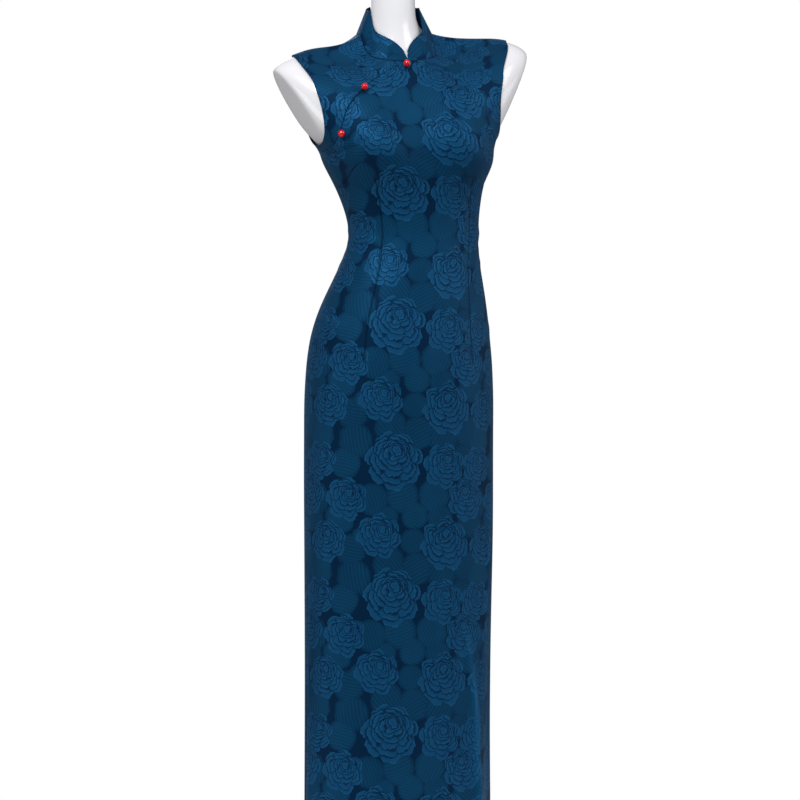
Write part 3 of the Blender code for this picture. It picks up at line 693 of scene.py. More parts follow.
def worn(ring, turn, out, facing):
    """A point of the finished cloth: the shared surface with creases and dart troughs."""
    upright, there, bust, bust_there = darts(ring, turn, facing)
    trough = there * np.exp(-((upright / DART_TROUGH_WIDE) ** 2))
    trough += bust_there * np.exp(-((bust / DART_TROUGH_WIDE) ** 2))
    return dressed(ring, turn, out + creased(ring, turn, facing) - DART_TROUGH * trough)


# ---- meshes ----


def add_object(name, data, slot, *nodes):
    """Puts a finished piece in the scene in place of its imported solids."""
    made = bpy.data.objects.new(name, data)
    bpy.context.scene.collection.objects.link(made)
    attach(made, "root")
    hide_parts(*nodes)
    return made


def finished(work, name, material, sharp=50):
    bmesh.ops.recalc_face_normals(work, faces=work.faces)
    if work.calc_volume(signed=True) < 0:
        bmesh.ops.reverse_faces(work, faces=work.faces)
    mesh = bpy.data.meshes.new(name)
    work.to_mesh(mesh)
    work.free()
    mesh.materials.append(material)
    mesh.shade_smooth()
    mesh.set_sharp_from_angle(angle=math.radians(sharp))
    return mesh


def values_of(mesh, name):
    values = np.zeros(len(mesh.vertices), np.float32)
    mesh.attributes[name].data.foreach_get("value", values)
    return values.astype(float)


def add_map(mesh, name, first, second):
    """A UV map from two values at every vertex."""
    corners = np.zeros(len(mesh.loops), np.int32)
    mesh.loops.foreach_get("vertex_index", corners)
    pairs = np.stack([first, second], axis=1)[corners]
    mesh.uv_layers.new(name=name).data.foreach_set("uv", pairs.astype(np.float32).ravel())


def wall(name, grid, turns, points, material, maps):
    """A closed wall of cloth: a grid of columns and rows, extruded and set in place. turns(across,
    down) gives each point's ring and turn, points(ring, turn, inner) its place, with inner 0 or 1,
    and maps(ring, turn) its UV maps."""
    work = bmesh.new()
    bmesh.ops.create_grid(work, x_segments=grid[0], y_segments=grid[1], size=0.5)
    made = bmesh.ops.extrude_face_region(work, geom=work.faces[:], use_keep_orig=True)
    inner = [e for e in made["geom"] if isinstance(e, bmesh.types.BMVert)]
    bmesh.ops.translate(work, verts=inner, vec=(0, 0, 1))
    at = np.array([v.co for v in work.verts])
    ring, turn = turns(at[:, 0] + 0.5, at[:, 1] + 0.5)
    rings, angles = work.verts.layers.float.new("ring"), work.verts.layers.float.new("turn")
    for vertex, point, r, t in zip(work.verts, points(ring, turn, at[:, 2]), ring, turn):
        vertex.co = point
        vertex[rings], vertex[angles] = r, t
    bmesh.ops.remove_doubles(work, verts=work.verts, dist=MERGE)
    mesh = finished(work, name, material)
    at_ring, at_turn = values_of(mesh, "ring"), values_of(mesh, "turn")
    for map_name, pair in maps(at_ring, at_turn).items():
        add_map(mesh, map_name, *pair)
    for name_of in ("ring", "turn"):
        mesh.attributes.remove(mesh.attributes[name_of])
    return mesh


def cloth_piece(name, node, grid, turns, points, maps):
    """A piece of the dress's own cloth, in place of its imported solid."""
    mesh = wall(name, grid, turns, points, satin("dress_satin"), maps)
    return add_object(name, mesh, SATIN, node)


def panel_maps(facing, shift):
    """The maps of a panel: its weave in metres, its two kinds of dart, the opening's edge and how
    high its creases stand, from which the satin paints sheen on ridges and shade in troughs."""

    def maps(ring, turn):
        across, up = cloth_place(ring, turn, facing)
        upright, there, bust, bust_there = darts(ring, turn, facing)
        return {
            "weave": (across + shift[0], up + shift[1]),
            "dart": (upright, there),
            "bust_dart": (bust, bust_there),
            "edge": opening_edge_shadow(ring, turn, facing),
            "ridge": (creased(ring, turn, facing) / RIDGE_HEIGHT, np.zeros_like(ring)),
        }

    return maps


def opening_edge_shadow(ring, turn, facing):
    """Distance from the big front's opening edge, and how much of that edge is there, for the painted
    shadow along the edge and on the underlap beneath it.
    """
    if facing < 0:
        return np.ones_like(ring), np.zeros_like(ring)
    along = np.clip(ring, NECKLINE, OPENING_END)
    edge = np.interp(along, EDGE_RINGS, EDGE_TURNS)
    away = from_table(ACROSS, ring, turn) - from_table(ACROSS, ring, edge)
    return away, smooth_step(-OPENING_END, -OPENING_END + 0.2, -ring)


def nearest_rows(rings, share):
    return rings[np.rint(share * (len(rings) - 1)).astype(int)]


def between(across, low, high, right, left):
    """Columns evenly spread in turn from low to high and cut off at a panel's two sides."""
    turn = low + (high - low) * across
    close = SNAP * (high - low) / FRONT_COLUMNS
    turn = np.where(turn - right < close, right, turn)
    return np.where(left - turn < close, left, turn)


def tube(name, line, radius, cyclic, material, slot, *nodes):
    """A round roll of cloth or cord along a line of points."""
    curve = bpy.data.curves.new(name, "CURVE")
    curve.dimensions = "3D"
    curve.bevel_depth = radius
    curve.bevel_resolution = 3
    curve.use_fill_caps = not cyclic
    spline = curve.splines.new("POLY")
    spline.points.add(len(line) - 1)
    for point, place in zip(spline.points, line):
        point.co = (*place, 1)
    spline.use_cyclic_u = cyclic
    curve.materials.append(material)
    return add_object(name, curve, slot, *nodes)


def upright_cylinder(radius, low, high, segments):
    work = bmesh.new()
    bmesh.ops.create_cone(
        work, segments=segments, cap_ends=True, depth=high - low, radius1=radius, radius2=radius
    )
    bmesh.ops.translate(work, verts=work.verts, vec=(0, 0, (low + high) / 2))
    return work


def neck_ring(turn):
    """The neckline, the way up the cloth from it, and the level way to the neck's middle."""
    ring = np.full_like(turn, float(NECKLINE))
    line = body(ring, turn)
    up = body(ring - NECK_STEP, turn) - line
    middle = np.array([SECTIONS[NECKLINE].x, SECTIONS[NECKLINE].y_side, 0])
    return line, unit(up), unit((middle - line) * (1, 1, 0))


def collar_turns(share):
    """turn along the collar, from its right front end round the back to its left front end."""
    end = COLLAR_FRONT_GAP / 2 / SECTIONS[NECKLINE].half_width
    return -end - share * (2 * math.pi - 2 * end)


def collar_height(turn):
    """Full height round the back, rounded down to nothing at the two front ends."""
    around = SECTIONS[NECKLINE].half_width * np.abs(np.angle(np.exp(1j * turn)))
    short = np.clip(1 - around / COLLAR_ROUNDING, 0, 1)
    return COLLAR_HEIGHT * np.sqrt(1 - short**2) + COLLAR_END * short


def collar_point(turn, height, inner):
    """The collar is sewn on, so its foot stands on the neckline itself."""
    line, _, inward = neck_ring(turn)
    rise = np.array(COLLAR_AXIS) * math.cos(COLLAR_LEAN) + inward * math.sin(COLLAR_LEAN)
    return line + rise * height[..., None] + inward * (COLLAR_CLOTH * inner)[..., None]


def beside(line, outward, distance, closed):
    """A line moved sideways, in the surface whose outward directions are given, to lie at a
    distance from the first one on its right-hand side."""
    first, last = line[-1], line[0]
    if not closed:
        first, last = 2 * line[0] - line[1], 2 * line[-1] - line[-2]
    before, after = np.vstack([first, line[:-1]]), np.vstack([line[1:], last])
    came, goes = unit(line - before), unit(after - line)
    along = unit(came + goes)
    reach = distance / np.sqrt((1 + (came * goes).sum(-1, keepdims=True)) / 2)
    return line + unit(np.cross(along, outward)) * reach


def cut_stumps(points):
    """Moves what lies past the shoulder planes back onto them, with a rounded edge."""
    for stump in STUMPS:
        side = math.copysign(1, stump.x)
        away = np.array([side * math.cos(stump.slope), 0, -math.sin(stump.slope)])
        past = (points - np.array([stump.x, 0, stump.z])) @ away
        past *= smooth_step(*STUMP_FADE_Z, points[:, 2])
        past = (past + np.hypot(past, STUMP_ROUNDING)) / 2
        points = points - past[:, None] * away
    return points


# ---- shader nodes ----


class Value:
    """What a node gives, for plain arithmetic. Each step adds a node to the same tree."""

    def __init__(self, socket):
        self.socket, self.node, self.tree = socket, socket.node, socket.id_data

    def other(self, name):
        """Another output of the same node."""
        return Value(self.node.outputs[name])

    def to(self, socket):
        self.tree.links.new(self.socket, socket)

    def math(self, operation, *others):
        return put(self.tree, "ShaderNodeMath", self, *others, operation=operation)

    def vector(self, operation, *others):
        return put(self.tree, "ShaderNodeVectorMath", self, *others, operation=operation)

    def parts(self):
        """The three parts of a vector."""
        return [Value(s) for s in put(self.tree, "ShaderNodeSeparateXYZ", self).node.outputs]

    def ramp(self, low, high, to_low=0.0, to_high=1.0):
        """Taken smoothly from low..high to to_low..to_high."""
        ends = (low, high, to_low, to_high)
        return put(self.tree, "ShaderNodeMapRange", self, *ends, interpolation_type="SMOOTHSTEP")

    def __add__(self, other):
        return self.math("ADD", other)

    def __sub__(self, other):
        return self.math("SUBTRACT", other)

    def __rsub__(self, other):
        return put(self.tree, "ShaderNodeMath", other, self, operation="SUBTRACT")

    def __mul__(self, other):
        return self.math("MULTIPLY", other)

    def __pow__(self, other):
        return self.math("POWER", other)


def feed(sockets, values):
    """Links or sets each input in order, from a node's value or a plain one."""
    for socket, value in zip(sockets, values):
        if isinstance(value, Value):
            value.to(socket)
        else:
            socket.default_value = value


def put(tree, kind, *values, **settings):
    """Adds a node, sets it, feeds its inputs and gives its first output."""
    node = tree.nodes.new(kind)
    for key, value in settings.items():
        setattr(node, key, value)
    feed([socket for socket in node.inputs if socket.enabled], values)
    return Value(next(socket for socket in node.outputs if socket.enabled))


def blend(share, first, second, kind="FLOAT"):
    return put(share.tree, "ShaderNodeMix", share, first, second, data_type=kind)


def mixed(tree, share, *colours):
    """Two colours mixed by share, each a plain one or a node's."""
    made = put(tree, "ShaderNodeMix", share, data_type="RGBA")
    live = [socket for socket in made.node.inputs if socket.enabled and socket.type == "RGBA"]
    feed(live, [c if isinstance(c, Value) else (*c, 1) for c in colours])
    return made


def noise(place, scale, detail=2.0, roughness=0.5):
    made = put(place.tree, "ShaderNodeTexNoise", place)
    for name, value in (("Scale", scale), ("Detail", detail), ("Roughness", roughness)):
        made.node.inputs[name].default_value = value
    return made


def new_group(name, inputs, outputs):
    """A node group with its inputs, as values by their names, and its output's sockets."""
    tree = bpy.data.node_groups.new(name, "ShaderNodeTree")
    for socket, kind in inputs:
        tree.interface.new_socket(socket, in_out="INPUT", socket_type=kind)
    for socket in outputs:
        tree.interface.new_socket(socket, in_out="OUTPUT", socket_type="NodeSocketFloat")
    given = {socket.name: Value(socket) for socket in tree.nodes.new("NodeGroupInput").outputs}
    return tree, given, tree.nodes.new("NodeGroupOutput").inputs


def use(group, *values):
    """What a group gives for these values, by name."""
    node = values[0].tree.nodes.new("ShaderNodeGroup")
    node.node_tree = group
    feed(node.inputs, values)
    return {socket.name: Value(socket) for socket in node.outputs}


AT_PLACE = [("Place", "NodeSocketVector")]


def petal_ring_group():
    """One ring of petals laid over what is under it: a scalloped disc with a light rim, parted
    between its petals, that throws a thin dark line on what lies outside it. Depths from its edge
    are shares of the rose's radius."""
    names = ("Across", "Up", "Size", "Count", "First", "Under")
    inputs = [(n, "NodeSocketFloat") for n in names]
    tree, given, out = new_group("petal_ring", inputs, ("Tone", "Inside"))
    across, up, size, count, first, under = (given[n] for n in names)
    angle = up.math("ARCTAN2", across) + first
    wave = (angle * (count * 0.5)).math("SINE").math("ABSOLUTE")
    edge = size * (wave**0.6 * SCALLOP + (1 - SCALLOP))
    depth = edge - (across**2.0 + up**2.0).math("SQRT")
    inside = depth.ramp(0.0, 0.020)
    rim = depth.ramp(0.010, 0.075, 1.0, 0.0) * wave.ramp(0.0, 0.45, 0.30)
    veins = (angle * VEINS_ROUND).math("SINE")
    tone = rim * PETAL_RIM + veins * PETAL_VEINS + PETAL_TONE
    parted = tone * wave.ramp(0.02, 0.24, 0.52)
    shade = depth.ramp(-0.080, -0.006, 1.0, 0.20)
    blend(inside, under * shade, parted).to(out["Tone"])
    inside.to(out["Inside"])
    return tree


def turned(place):
    """The across and up parts of a motif's own place, turned by the angle kept in its third part,
    and that angle."""
    angle = place.parts()[2]
    flat = place.vector("MULTIPLY", (1, 1, 0))
    spun = put(place.tree, "ShaderNodeVectorRotate", flat, rotation_type="Z_AXIS")
    angle.to(spun.node.inputs["Angle"])
    across, up = spun.parts()[:2]
    return across, up, angle


def swayed(across, up, seed, scale, reach):
    """A flat place pushed about by noise, in a way of its own for each seed."""
    flat = put(across.tree, "ShaderNodeCombineXYZ", across, up, seed)
    push = noise(flat, scale, 3.0, 0.62).other("Color").vector("SUBTRACT", (0.5, 0.5, 0.5))
    return push.vector("MULTIPLY_ADD", (reach, reach, 0.0), flat).parts()[:2]


def rose_group():
    """A full-blown rose of radius 1 with its eye high, so that the lower petals lie broad."""
    tree, given, out = new_group("rose", AT_PLACE, ("Tone", "Inside"))
    across, up, seed = turned(given["Place"])
    across, up = swayed(across, up, seed, 2.3, 0.42)
    ring, tone, inside = petal_ring_group(), 0.0, None
    for petals in PETAL_RINGS:
        right, high = (share * (1 - petals.size) for share in ROSE_EYE)
        shape = (petals.size, float(petals.count), seed + petals.first)
        laid = use(ring, across - right, up - high, *shape, tone)
        tone, inside = laid["Tone"], inside or laid["Inside"]
    tone.to(out["Tone"])
    inside.to(out["Inside"])
    return tree


def leaf_group():
    """A round leaf of radius 1 with fine hatching across it and a darker edge."""
    tree, given, out = new_group("leaf", AT_PLACE, ("Tone", "Inside"))
    across, up, seed = turned(given["Place"])
    x, y = swayed(across, up, seed, 1.4, 0.34)
    squares = x**2.0 + y**2.0
    depth = 1.0 - squares.math("SQRT")
    hatching = (squares * 3.0 + up * HATCH_ROWS).math("SINE")
    drift = (seed * 5.0).math("SINE")
    tone = hatching * LEAF_HATCH + drift * LEAF_DRIFT + LEAF_TONE
    (tone * depth.ramp(0.0, 0.30, 0.62)).to(out["Tone"])
    depth.ramp(0.0, 0.05).to(out["Inside"])
    return tree


def nearest_motif(place, motifs):
    """place as seen from the nearest of the repeat's motifs, in that motif's own size, with its
    turn as the third part."""
    half = (REPEAT[0] / 2, REPEAT[1] / 2, 1.0)
    best, chosen = 99.0, (9.0, 9.0, 0.0)
    for motif in motifs:
        offset = place.vector("SUBTRACT", (motif.x, motif.y, 0.0))
        offset = offset.vector("WRAP", half, tuple(-h for h in half))
        scale, turn = (1 / motif.size, 1 / motif.size, 0.0), (0.0, 0.0, math.radians(motif.turn))
        own = offset.vector("MULTIPLY_ADD", scale, turn)
        away = offset.vector("LENGTH").other("Value") * (1 / motif.size)
        chosen = blend(away.math("LESS_THAN", best), chosen, own, "VECTOR")
        best = away.math("MINIMUM", best)
    return chosen


def jacquard_group():
    """Tone of the woven pattern, roses over leaves over a dark ground, and where leaves show."""
    tree, given, out = new_group("rose_jacquard", AT_PLACE, ("Tone", "Leaf"))
    rose = use(rose_group(), nearest_motif(given["Place"], ROSES))
    leaf = use(leaf_group(), nearest_motif(given["Place"], LEAVES))
    blend(rose["Inside"], leaf["Tone"] * leaf["Inside"], rose["Tone"]).to(out["Tone"])
    ((1.0 - rose["Inside"]) * leaf["Inside"]).to(out["Leaf"])
    return tree


def weave_group():
    """Height, in metres, and tone of the satin's threads: long floats across fine warp lines."""
    tree, given, out = new_group("satin_threads", AT_PLACE, ("Height", "Tone"))
    warp = noise(given["Place"].vector("MULTIPLY", WARP_SCALE), 1.0)
    slub = noise(given["Place"].vector("MULTIPLY", SLUB_SCALE), 1.0)
    (warp * THREAD_RELIEF).to(out["Height"])
    both = warp * WARP_TONE + slub * SLUB_TONE
    (both - (WARP_TONE + SLUB_TONE) / 2).to(out["Tone"])
    return tree


def sewn_line_group():
    """1 on a sewn line or along the big front's opening edge, from a map with the distance to it and how
    much of it is there.
    """
    tree, given, out = new_group("sewn_line", [("Map", "NodeSocketVector")], ("Line",))
    away, there = given["Map"].parts()[:2]
    (away.math("ABSOLUTE").ramp(0.0005, 0.0019, 1.0, 0.0) * there).to(out["Line"])
    return tree


def material(name, colour, roughness, **settings):
    """A new Principled material with its own constants set on the shader's sockets."""
    made = bpy.data.materials.new(name)
    made.use_nodes = True
    tree = made.node_tree
    shader = tree.nodes["Principled BSDF"]
    shader.inputs["Base Color"].default_value = (*colour, 1)
    shader.inputs["Roughness"].default_value = roughness
    for socket, value in settings.items():
        shader.inputs[socket.replace("_", " ")].default_value = value
    return made, tree, shader.inputs


def group(name, build):
    return bpy.data.node_groups.get(name) or build()


def satin(name, pattern_on=True):
    """The dress satin. On panels and collar it reads their maps, on rolls the object's place."""
    found = bpy.data.materials.get(name)
    if found:
        return found
    made, tree, inputs = material(
        name,
        looks().petal_colour,
        0.5,
        Metallic=looks().satin_metal,
        **SATIN_SHINE,
        Sheen_Tint=(*looks().gleam_colour, 1),
        Specular_Tint=(*looks().gleam_colour, 1),
    )
    if pattern_on:
        place = put(tree, "ShaderNodeUVMap", uv_map="weave")
        pattern = use(group("rose_jacquard", jacquard_group), place)
        tone, leaf = pattern["Tone"], pattern["Leaf"]
    else:
        place = put(tree, "ShaderNodeTexCoord").other("Object")
        tone, leaf = ROLL_TONE, 0.0
    threads = use(group("satin_threads", weave_group), place)
    height, shown = threads["Height"] + tone * MOTIF_RELIEF, threads["Tone"] + tone
    if pattern_on:
        # Painted sheen on the creases' ridges and painted shade in their troughs, read from the ridge map
        painted_ridge_sheen = put(tree, "ShaderNodeUVMap", uv_map="ridge").parts()[0]
        shown = painted_ridge_sheen * RIDGE_PAINTED_SHEEN + shown
    hue = mixed(tree, leaf, looks().petal_colour, looks().leaf_colour)
    colour = mixed(tree, shown.ramp(0.0, FULL_TONE), looks().ground_colour, hue)
    shade = mixed(tree, shown.ramp(*RIM_TONES), colour, looks().rim_colour)
    # Painted shade along the dart seams, at the collar's foot and along the big front's opening edge, over
    # a shallow sunk line
    for map_name, dark_share in SEAM_SHADE_MAPS if pattern_on else ():
        seam = put(tree, "ShaderNodeUVMap", uv_map=map_name)
        line = use(group("sewn_line", sewn_line_group), seam)["Line"]
        height = height - line * SEAM_DEPTH
        shade = mixed(tree, line * dark_share, shade, looks().seam_colour)
    shade.to(inputs["Base Color"])
    shown.ramp(0.0, RIM_TONES[1], *SATIN_ROUGHNESS).to(inputs["Roughness"])
    bump = put(tree, "ShaderNodeBump", BUMP_STRENGTH, 1.0)
    height.to(bump.node.inputs["Height"])
    bump.to(inputs["Normal"])
    return made


def moulded(name, colour, finish, **settings):
    """A smooth moulded or painted finish with a slight mottle in its gloss and tone."""
    made, tree, inputs = material(name, colour, finish.roughness, **settings)
    mottle = noise(put(tree, "ShaderNodeTexCoord").other("Object"), finish.scale, 3.0)
    ends = (finish.roughness - finish.mottle, finish.roughness + finish.mottle)
    mottle.ramp(0.3, 0.7, *ends).to(inputs["Roughness"])
    tint = mixed(tree, mottle, colour, [part * TINT_DARKEST for part in colour])
    tint.to(inputs["Base Color"])
    return made


# ---- properties ----


def size_of(name, description, default, **more):
    return bpy.props.FloatProperty(
        name=name, description=description, default=default, unit="LENGTH", **more
    )


def colour_of(name, description, default):
    return bpy.props.FloatVectorProperty(
        name=name, description=description, default=default, size=3, subtype="COLOR", min=0, max=1
    )


class CheongsamSizes(bpy.types.PropertyGroup):
    """Sizes of the small pieces and the depth of the creases."""

    bead_radius: size_of("Bead radius", "Radius of a round bead fastening", 0.0060)
    piping_radius: size_of("Edge roll", "Radius of the rolled satin edges", 0.0010)
    crease_depth: bpy.props.FloatProperty(
        name="Crease depth",
        description="Share of the creases' depth that is used",
        default=1.0,
        min=0,
    )


class CheongsamLooks(bpy.types.PropertyGroup):
    """Colours of the dress, its fastenings and its form."""

    ground_colour: colour_of("Ground", "Satin between the roses", (0.0006, 0.0110, 0.0370))
    petal_colour: colour_of("Petals", "Satin of the petals", (0.0038, 0.0475, 0.1210))
    leaf_colour: colour_of("Leaves", "Satin of the round leaves", (0.0027, 0.0405, 0.0975))
    rim_colour: colour_of("Petal rims", "Lightest threads", (0.0105, 0.0790, 0.1840))
    seam_colour: colour_of("Seams", "Shadow in a seam or at an edge", (0.0003, 0.0035, 0.0110))
    gleam_colour: colour_of("Gleam", "Tint of the light on the satin", (0.12, 0.45, 0.80))
    satin_metal: bpy.props.FloatProperty(
        name="Satin gleam",
        description="How far the satin's reflections take its own colour",
        default=0.30,
    )
    bead_colour: colour_of("Beads", "Polished red beads", (0.52, 0.0020, 0.0070))
    form_colour: colour_of("Form", "Gloss of the dress form", (0.645, 0.645, 0.672))
    stand_colour: colour_of("Stand", "Paint of the pole and base", (0.65, 0.65, 0.67))


# ---- operators ----


class CHEONGSAM_OT_front(bpy.types.Operator):
    """Build the big front panel and the small right front under it"""

    bl_idname = "cheongsam.front"
    bl_label = "Fronts"

    def execute(self, context):
        def turns(across, down):
            ring = nearest_rows(CLOTH_RINGS, down)
            right, left = opening_edge(ring), panel_side(ring, 1, 1)
            return ring, between(across, -QUARTERS[1], QUARTERS[1], right, left)

        def points(ring, turn, inner):
            return worn(ring, turn, flap_lift(ring, turn) - CLOTH * inner, 1)

        grid, maps = (FRONT_COLUMNS, len(CLOTH_RINGS) - 1), panel_maps(1, FRONT_ON_CHART)
        front = cloth_piece("front_cloth", "front_panel", grid, turns, points, maps)

        rings = CLOTH_RINGS[: np.searchsorted(CLOTH_RINGS, OPENING_END + 0.5) + 1]

        def under_turns(across, down):
            ring = nearest_rows(rings, down)
            side, end = panel_side(ring, -1, 1), opening_edge(ring) + turn_for(ring, UNDERLAP)
            last = math.pi * (UNDERLAP_COLUMNS / FRONT_COLUMNS - 0.5)
            return ring, between(across, -QUARTERS[1], last, side, end)

        def under_points(ring, turn, inner):
            return worn(ring, turn, -CLOTH * inner, 1)

        grid, maps = (UNDERLAP_COLUMNS, len(rings) - 1), panel_maps(1, UNDERLAP_ON_CHART)
        piece = "underlap_cloth", "right_front_underlap"
        under = cloth_piece(*piece, grid, under_turns, under_points, maps)
        return {"FINISHED"}


class CHEONGSAM_OT_back(bpy.types.Operator):
    """Build the back panel"""

    bl_idname = "cheongsam.back"
    bl_label = "Back"

    def execute(self, context):
        def turns(across, down):
            ring = nearest_rows(CLOTH_RINGS, down)
            left, right = panel_side(ring, 1, -1), panel_side(ring, -1, -1) + 2 * math.pi
            return ring, between(across, QUARTERS[1], QUARTERS[3], left, right)

        def points(ring, turn, inner):
            return worn(ring, turn, -CLOTH * inner, -1)

        grid, maps = (BACK_COLUMNS, len(CLOTH_RINGS) - 1), panel_maps(-1, BACK_ON_CHART)
        back = cloth_piece("back_cloth", "back_panel", grid, turns, points, maps)
        return {"FINISHED"}


class CHEONGSAM_OT_collar(bpy.types.Operator):
    """Build the stand collar"""

    bl_idname = "cheongsam.collar"
    bl_label = "Collar"

    def execute(self, context):
        def turns(across, down):
            return down, collar_turns(across)

        def points(share, turn, inner):
            return collar_point(turn, share * collar_height(turn), inner)

        def maps(share, turn):
            around = SECTIONS[NECKLINE].half_width * turn
            up, everywhere = share * collar_height(turn), np.ones_like(turn)
            nowhere = everywhere, np.zeros_like(turn)
            flat = everywhere * 0, everywhere * 0
            foot = COLLAR_SEAM_NARROW * up, everywhere
            seams = {"dart": nowhere, "bust_dart": nowhere, "edge": foot}
            return {"weave": (around, up + COLLAR_ON_CHART), **seams, "ridge": flat}

        grid = (COLLAR_COLUMNS, COLLAR_ROWS)
        collar = cloth_piece("collar_cloth", "collar", grid, turns, points, maps)
        return {"FINISHED"}


class CHEONGSAM_OT_edges(bpy.types.Operator):
    """Build the rolled edges of the collar and the armholes"""

    bl_idname = "cheongsam.edges"
    bl_label = "Rolled edges"

    def execute(self, context):
        radius, roll = sizes().piping_radius, satin("edge_satin", pattern_on=False)
        turn = collar_turns(np.linspace(*ROLL_COLLAR_SHARES, ROLL_COLLAR_POINTS))
        inward = neck_ring(turn)[2]
        top = collar_point(turn, collar_height(turn), np.full_like(turn, 0.5))
        line = beside(top, -inward, ROLL_SEAT * radius, False)
        tube("collar_roll", line, radius, False, roll, SATIN, "collar_piping")
        rings = CLOTH_RINGS[(CLOTH_RINGS >= TIP) & (CLOTH_RINGS <= ARMPIT)]
        down, up = rings, rings[-2:0:-1]
        ring = np.concatenate([down, up])
        for side, name in ((-1, "right"), (1, "left")):
            turn = np.concatenate([armhole_edge(down, side, 1), armhole_edge(up, side, -1)])
            edge = dressed(ring, turn, np.full_like(ring, -CLOTH / 2))
            line = beside(edge, -side * normal(ring, turn), ROLL_SEAT * radius, True)
            tube(f"armhole_roll_{name}", line, radius, True, roll, SATIN, f"armhole_piping_{name}")
        return {"FINISHED"}


class CHEONGSAM_OT_beads(bpy.types.Operator):
    """Build the bead fastenings and the cord rings that they sit on"""

    bl_idname = "cheongsam.beads"
    bl_label = "Bead fastenings"

    def execute(self, context):
        radius, cord = sizes().bead_radius, satin("edge_satin", pattern_on=False)
        shine = {"Specular_IOR_Level": 0.25, "Coat_Weight": 0.90, "Coat_Roughness": 0.03}
        gloss = moulded("bead_gloss", looks().bead_colour, BEAD_FINISH, **shine)
        rings = np.linspace(NECKLINE, OPENING_END, OPENING_POINTS)
        heights = body(rings, opening_edge(rings))[:, 2]
        for number, bead in enumerate(BEAD_PLACES, 1):
            at = rings[[np.abs(heights - bead.height).argmin()]]
            turn = opening_edge(at) + turn_for(at, bead.inset)
            foot = dressed(at, turn, flap_lift(at, turn) + 3 * SEAM_GAP)[0]
            out = normal(at, turn)[0]
            side = unit(np.cross(out, (0, 0, 1)))
            other = np.cross(out, side)
            angles = np.linspace(0, 2 * math.pi, LOOP_POINTS, endpoint=False)[:, None]
            ring = foot + out * LOOP_CORD_RADIUS
            ring = ring + LOOP_RADIUS * (np.cos(angles) * side + np.sin(angles) * other)
            name = f"bead_cord_{number}"
            tube(name, ring, LOOP_CORD_RADIUS, True, cord, SATIN, f"bead_loop_{number}")
            work = bmesh.new()
            bmesh.ops.create_uvsphere(
                work, u_segments=BEAD_SEGMENTS, v_segments=BEAD_RINGS, radius=radius
            )
            middle = foot + out * (radius + LOOP_CORD_RADIUS + SEAM_GAP)
            bmesh.ops.translate(work, verts=work.verts, vec=middle)
            name = f"round_bead_{number}"
            add_object(name, finished(work, name, gloss), "red_bead", f"bead_{number}")
        return {"FINISHED"}


class CHEONGSAM_OT_form(bpy.types.Operator):
    """Build the limbless dress form"""

    bl_idname = "cheongsam.form"
    bl_label = "Dress form"

    def execute(self, context):
        heights = [-section.z for section in SECTIONS]
        last = np.interp(-FORM_END_Z, heights, range(HEM + 1))
        rings = spaced_rings(0, last, FORM_ROWS + 1, four_ways)
        work = bmesh.new()
        bmesh.ops.create_grid(work, x_segments=FORM_COLUMNS, y_segments=FORM_ROWS, size=0.5)
        at = np.array([v.co for v in work.verts])
        ring, turn = nearest_rows(rings, at[:, 1] + 0.5), 2 * math.pi * at[:, 0]
        points = cut_stumps(dressed(ring, turn, -CLOTH - section_at(ring)[-2]))
        points[ring == rings[-1], 2] = FORM_END_Z
        for vertex, point in zip(work.verts, points):
            vertex.co = point
        bmesh.ops.remove_doubles(work, verts=work.verts, dist=FORM_MERGE)
        bmesh.ops.holes_fill(work, edges=work.edges, sides=0)
        shine = {"Coat_Weight": 0.35, "Coat_Roughness": 0.08}
        gloss = moulded("form_gloss", looks().form_colour, FORM_FINISH, **shine)
        mesh = finished(work, "dress_form", gloss)
        add_object("dress_form", mesh, "form_gloss_white", "form_torso")
        return {"FINISHED"}


class CHEONGSAM_OT_stand(bpy.types.Operator):
    """Build the pole and the round base"""

    bl_idname = "cheongsam.stand"
    bl_label = "Stand"

    def execute(self, context):
        paint = moulded("stand_paint", looks().stand_colour, STAND_FINISH)
        low, high = BASE_THICKNESS + SEAM_GAP, FORM_END_Z - SEAM_GAP
        work = upright_cylinder(POLE_RADIUS, low, high, POLE_SEGMENTS)
        add_object("round_pole", finished(work, "round_pole", paint), "stand_white", "stand_pole")
        work = upright_cylinder(BASE_RADIUS, 0, BASE_THICKNESS, BASE_SEGMENTS)
        rim = [e for e in work.edges if abs(e.verts[0].co.z - e.verts[1].co.z) < LEVEL]
        edge = {"offset": BASE_EDGE, "segments": EDGE_SEGMENTS, "profile": 0.5}
        bmesh.ops.bevel(work, geom=rim, affect="EDGES", material=-1, **edge)
        mesh = finished(work, "round_base", paint, BASE_SHARP)
        add_object("round_base", mesh, "stand_white", "stand_base")
        return {"FINISHED"}


class CHEONGSAM_OT_stage(bpy.types.Operator):
    """Build the pale floor, the white surroundings, the soft lights and the camera"""

    bl_idname = "cheongsam.stage"
    bl_label = "Stage"

    def execute(self, context):
        scene = context.scene
        work = bmesh.new()
        bmesh.ops.create_circle(work, segments=FLOOR_SEGMENTS, radius=FLOOR_RADIUS, cap_ends=True)
        paint = material("floor_white", FLOOR_COLOUR, 0.7)[0]
        floor = bpy.data.objects.new("floor", finished(work, "floor", paint))
        scene.collection.objects.link(floor)
        add_world(scene)
        for light in LIGHTS:
            add_light(scene, light)
        data = bpy.data.cameras.new("camera")
        data.sensor_width = SENSOR
        data.lens = SENSOR * VIEW_DISTANCE * PIXELS_PER_METRE / FRAME_PIXELS
        camera = bpy.data.objects.new("camera", data)
        turn = math.radians(VIEW_TURN)
        away = Vector((math.sin(turn), -math.cos(turn), 0))
        camera.location = Vector(LOOK_AT) + VIEW_DISTANCE * away
        camera.rotation_euler = (math.pi / 2, 0, turn)
        scene.collection.objects.link(camera)
        scene.camera = camera
        scene.view_settings.view_transform = "Standard"
        return {"FINISHED"}


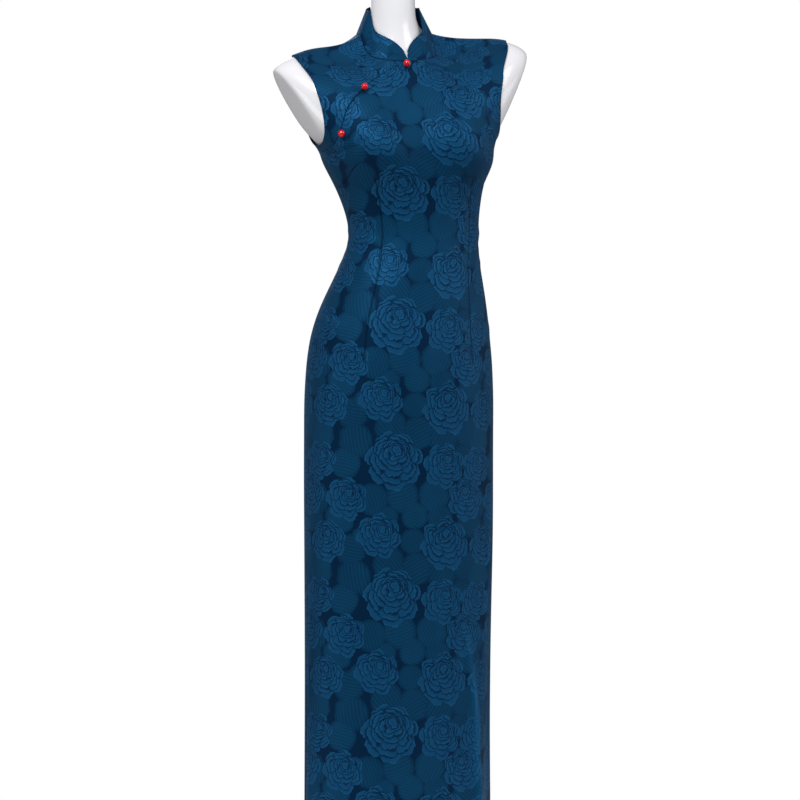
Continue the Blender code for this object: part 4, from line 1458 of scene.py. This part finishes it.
def add_world(scene):
    """White to look at, with a softer white for what it lights and for what mirrors it."""
    world = bpy.data.worlds.new("studio")
    world.use_nodes = True
    tree = world.node_tree
    sky = tree.nodes["Background"]
    sky.inputs["Color"].default_value = (1, 1, 1, 1)
    path = put(tree, "ShaderNodeLightPath")
    lit = blend(path.other("Is Diffuse Ray"), SURROUND_SHINE, SURROUND_GLOW)
    blend(path.other("Is Camera Ray"), lit, SURROUND_WHITE).to(sky.inputs["Strength"])
    scene.world = world


def add_light(scene, light):
    data = bpy.data.lights.new(light.name, "AREA")
    data.size, data.energy = light.size, light.power
    made = bpy.data.objects.new(light.name, data)
    made.location = light.place
    aim = Vector((0, 0, LIGHT_AIM_Z)) - made.location
    made.rotation_euler = aim.to_track_quat("-Z", "Y").to_euler()
    scene.collection.objects.link(made)


class CHEONGSAM_PT_panel(bpy.types.Panel):
    """Sizes, colours and build buttons"""

    bl_idname = "CHEONGSAM_PT_panel"
    bl_label = "Cheongsam"
    bl_space_type = "VIEW_3D"
    bl_region_type = "UI"
    bl_category = "Cheongsam"

    def draw(self, context):
        for settings in (context.scene.cheongsam_sizes, context.scene.cheongsam_looks):
            for name in settings.bl_rna.properties.keys():
                if name not in ("rna_type", "name"):
                    self.layout.prop(settings, name)
        for operator in OPERATORS:
            self.layout.operator(operator.bl_idname)


OPERATORS = (
    CHEONGSAM_OT_stage,
    CHEONGSAM_OT_form,
    CHEONGSAM_OT_back,
    CHEONGSAM_OT_front,
    CHEONGSAM_OT_collar,
    CHEONGSAM_OT_edges,
    CHEONGSAM_OT_beads,
    CHEONGSAM_OT_stand,
)
CLASSES = (CheongsamSizes, CheongsamLooks, *OPERATORS, CHEONGSAM_PT_panel)


def register():
    for made in CLASSES:
        bpy.utils.register_class(made)
    bpy.types.Scene.cheongsam_sizes = bpy.props.PointerProperty(type=CheongsamSizes)
    bpy.types.Scene.cheongsam_looks = bpy.props.PointerProperty(type=CheongsamLooks)


def unregister():
    del bpy.types.Scene.cheongsam_looks
    del bpy.types.Scene.cheongsam_sizes
    for made in reversed(CLASSES):
        bpy.utils.unregister_class(made)


def main():
    register()
    bpy.ops.cheongsam.stage()
    bpy.ops.cheongsam.form()
    bpy.ops.cheongsam.back()
    bpy.ops.cheongsam.front()
    bpy.ops.cheongsam.collar()
    bpy.ops.cheongsam.edges()
    bpy.ops.cheongsam.beads()
    bpy.ops.cheongsam.stand()


if __name__ == "__main__":
    main()
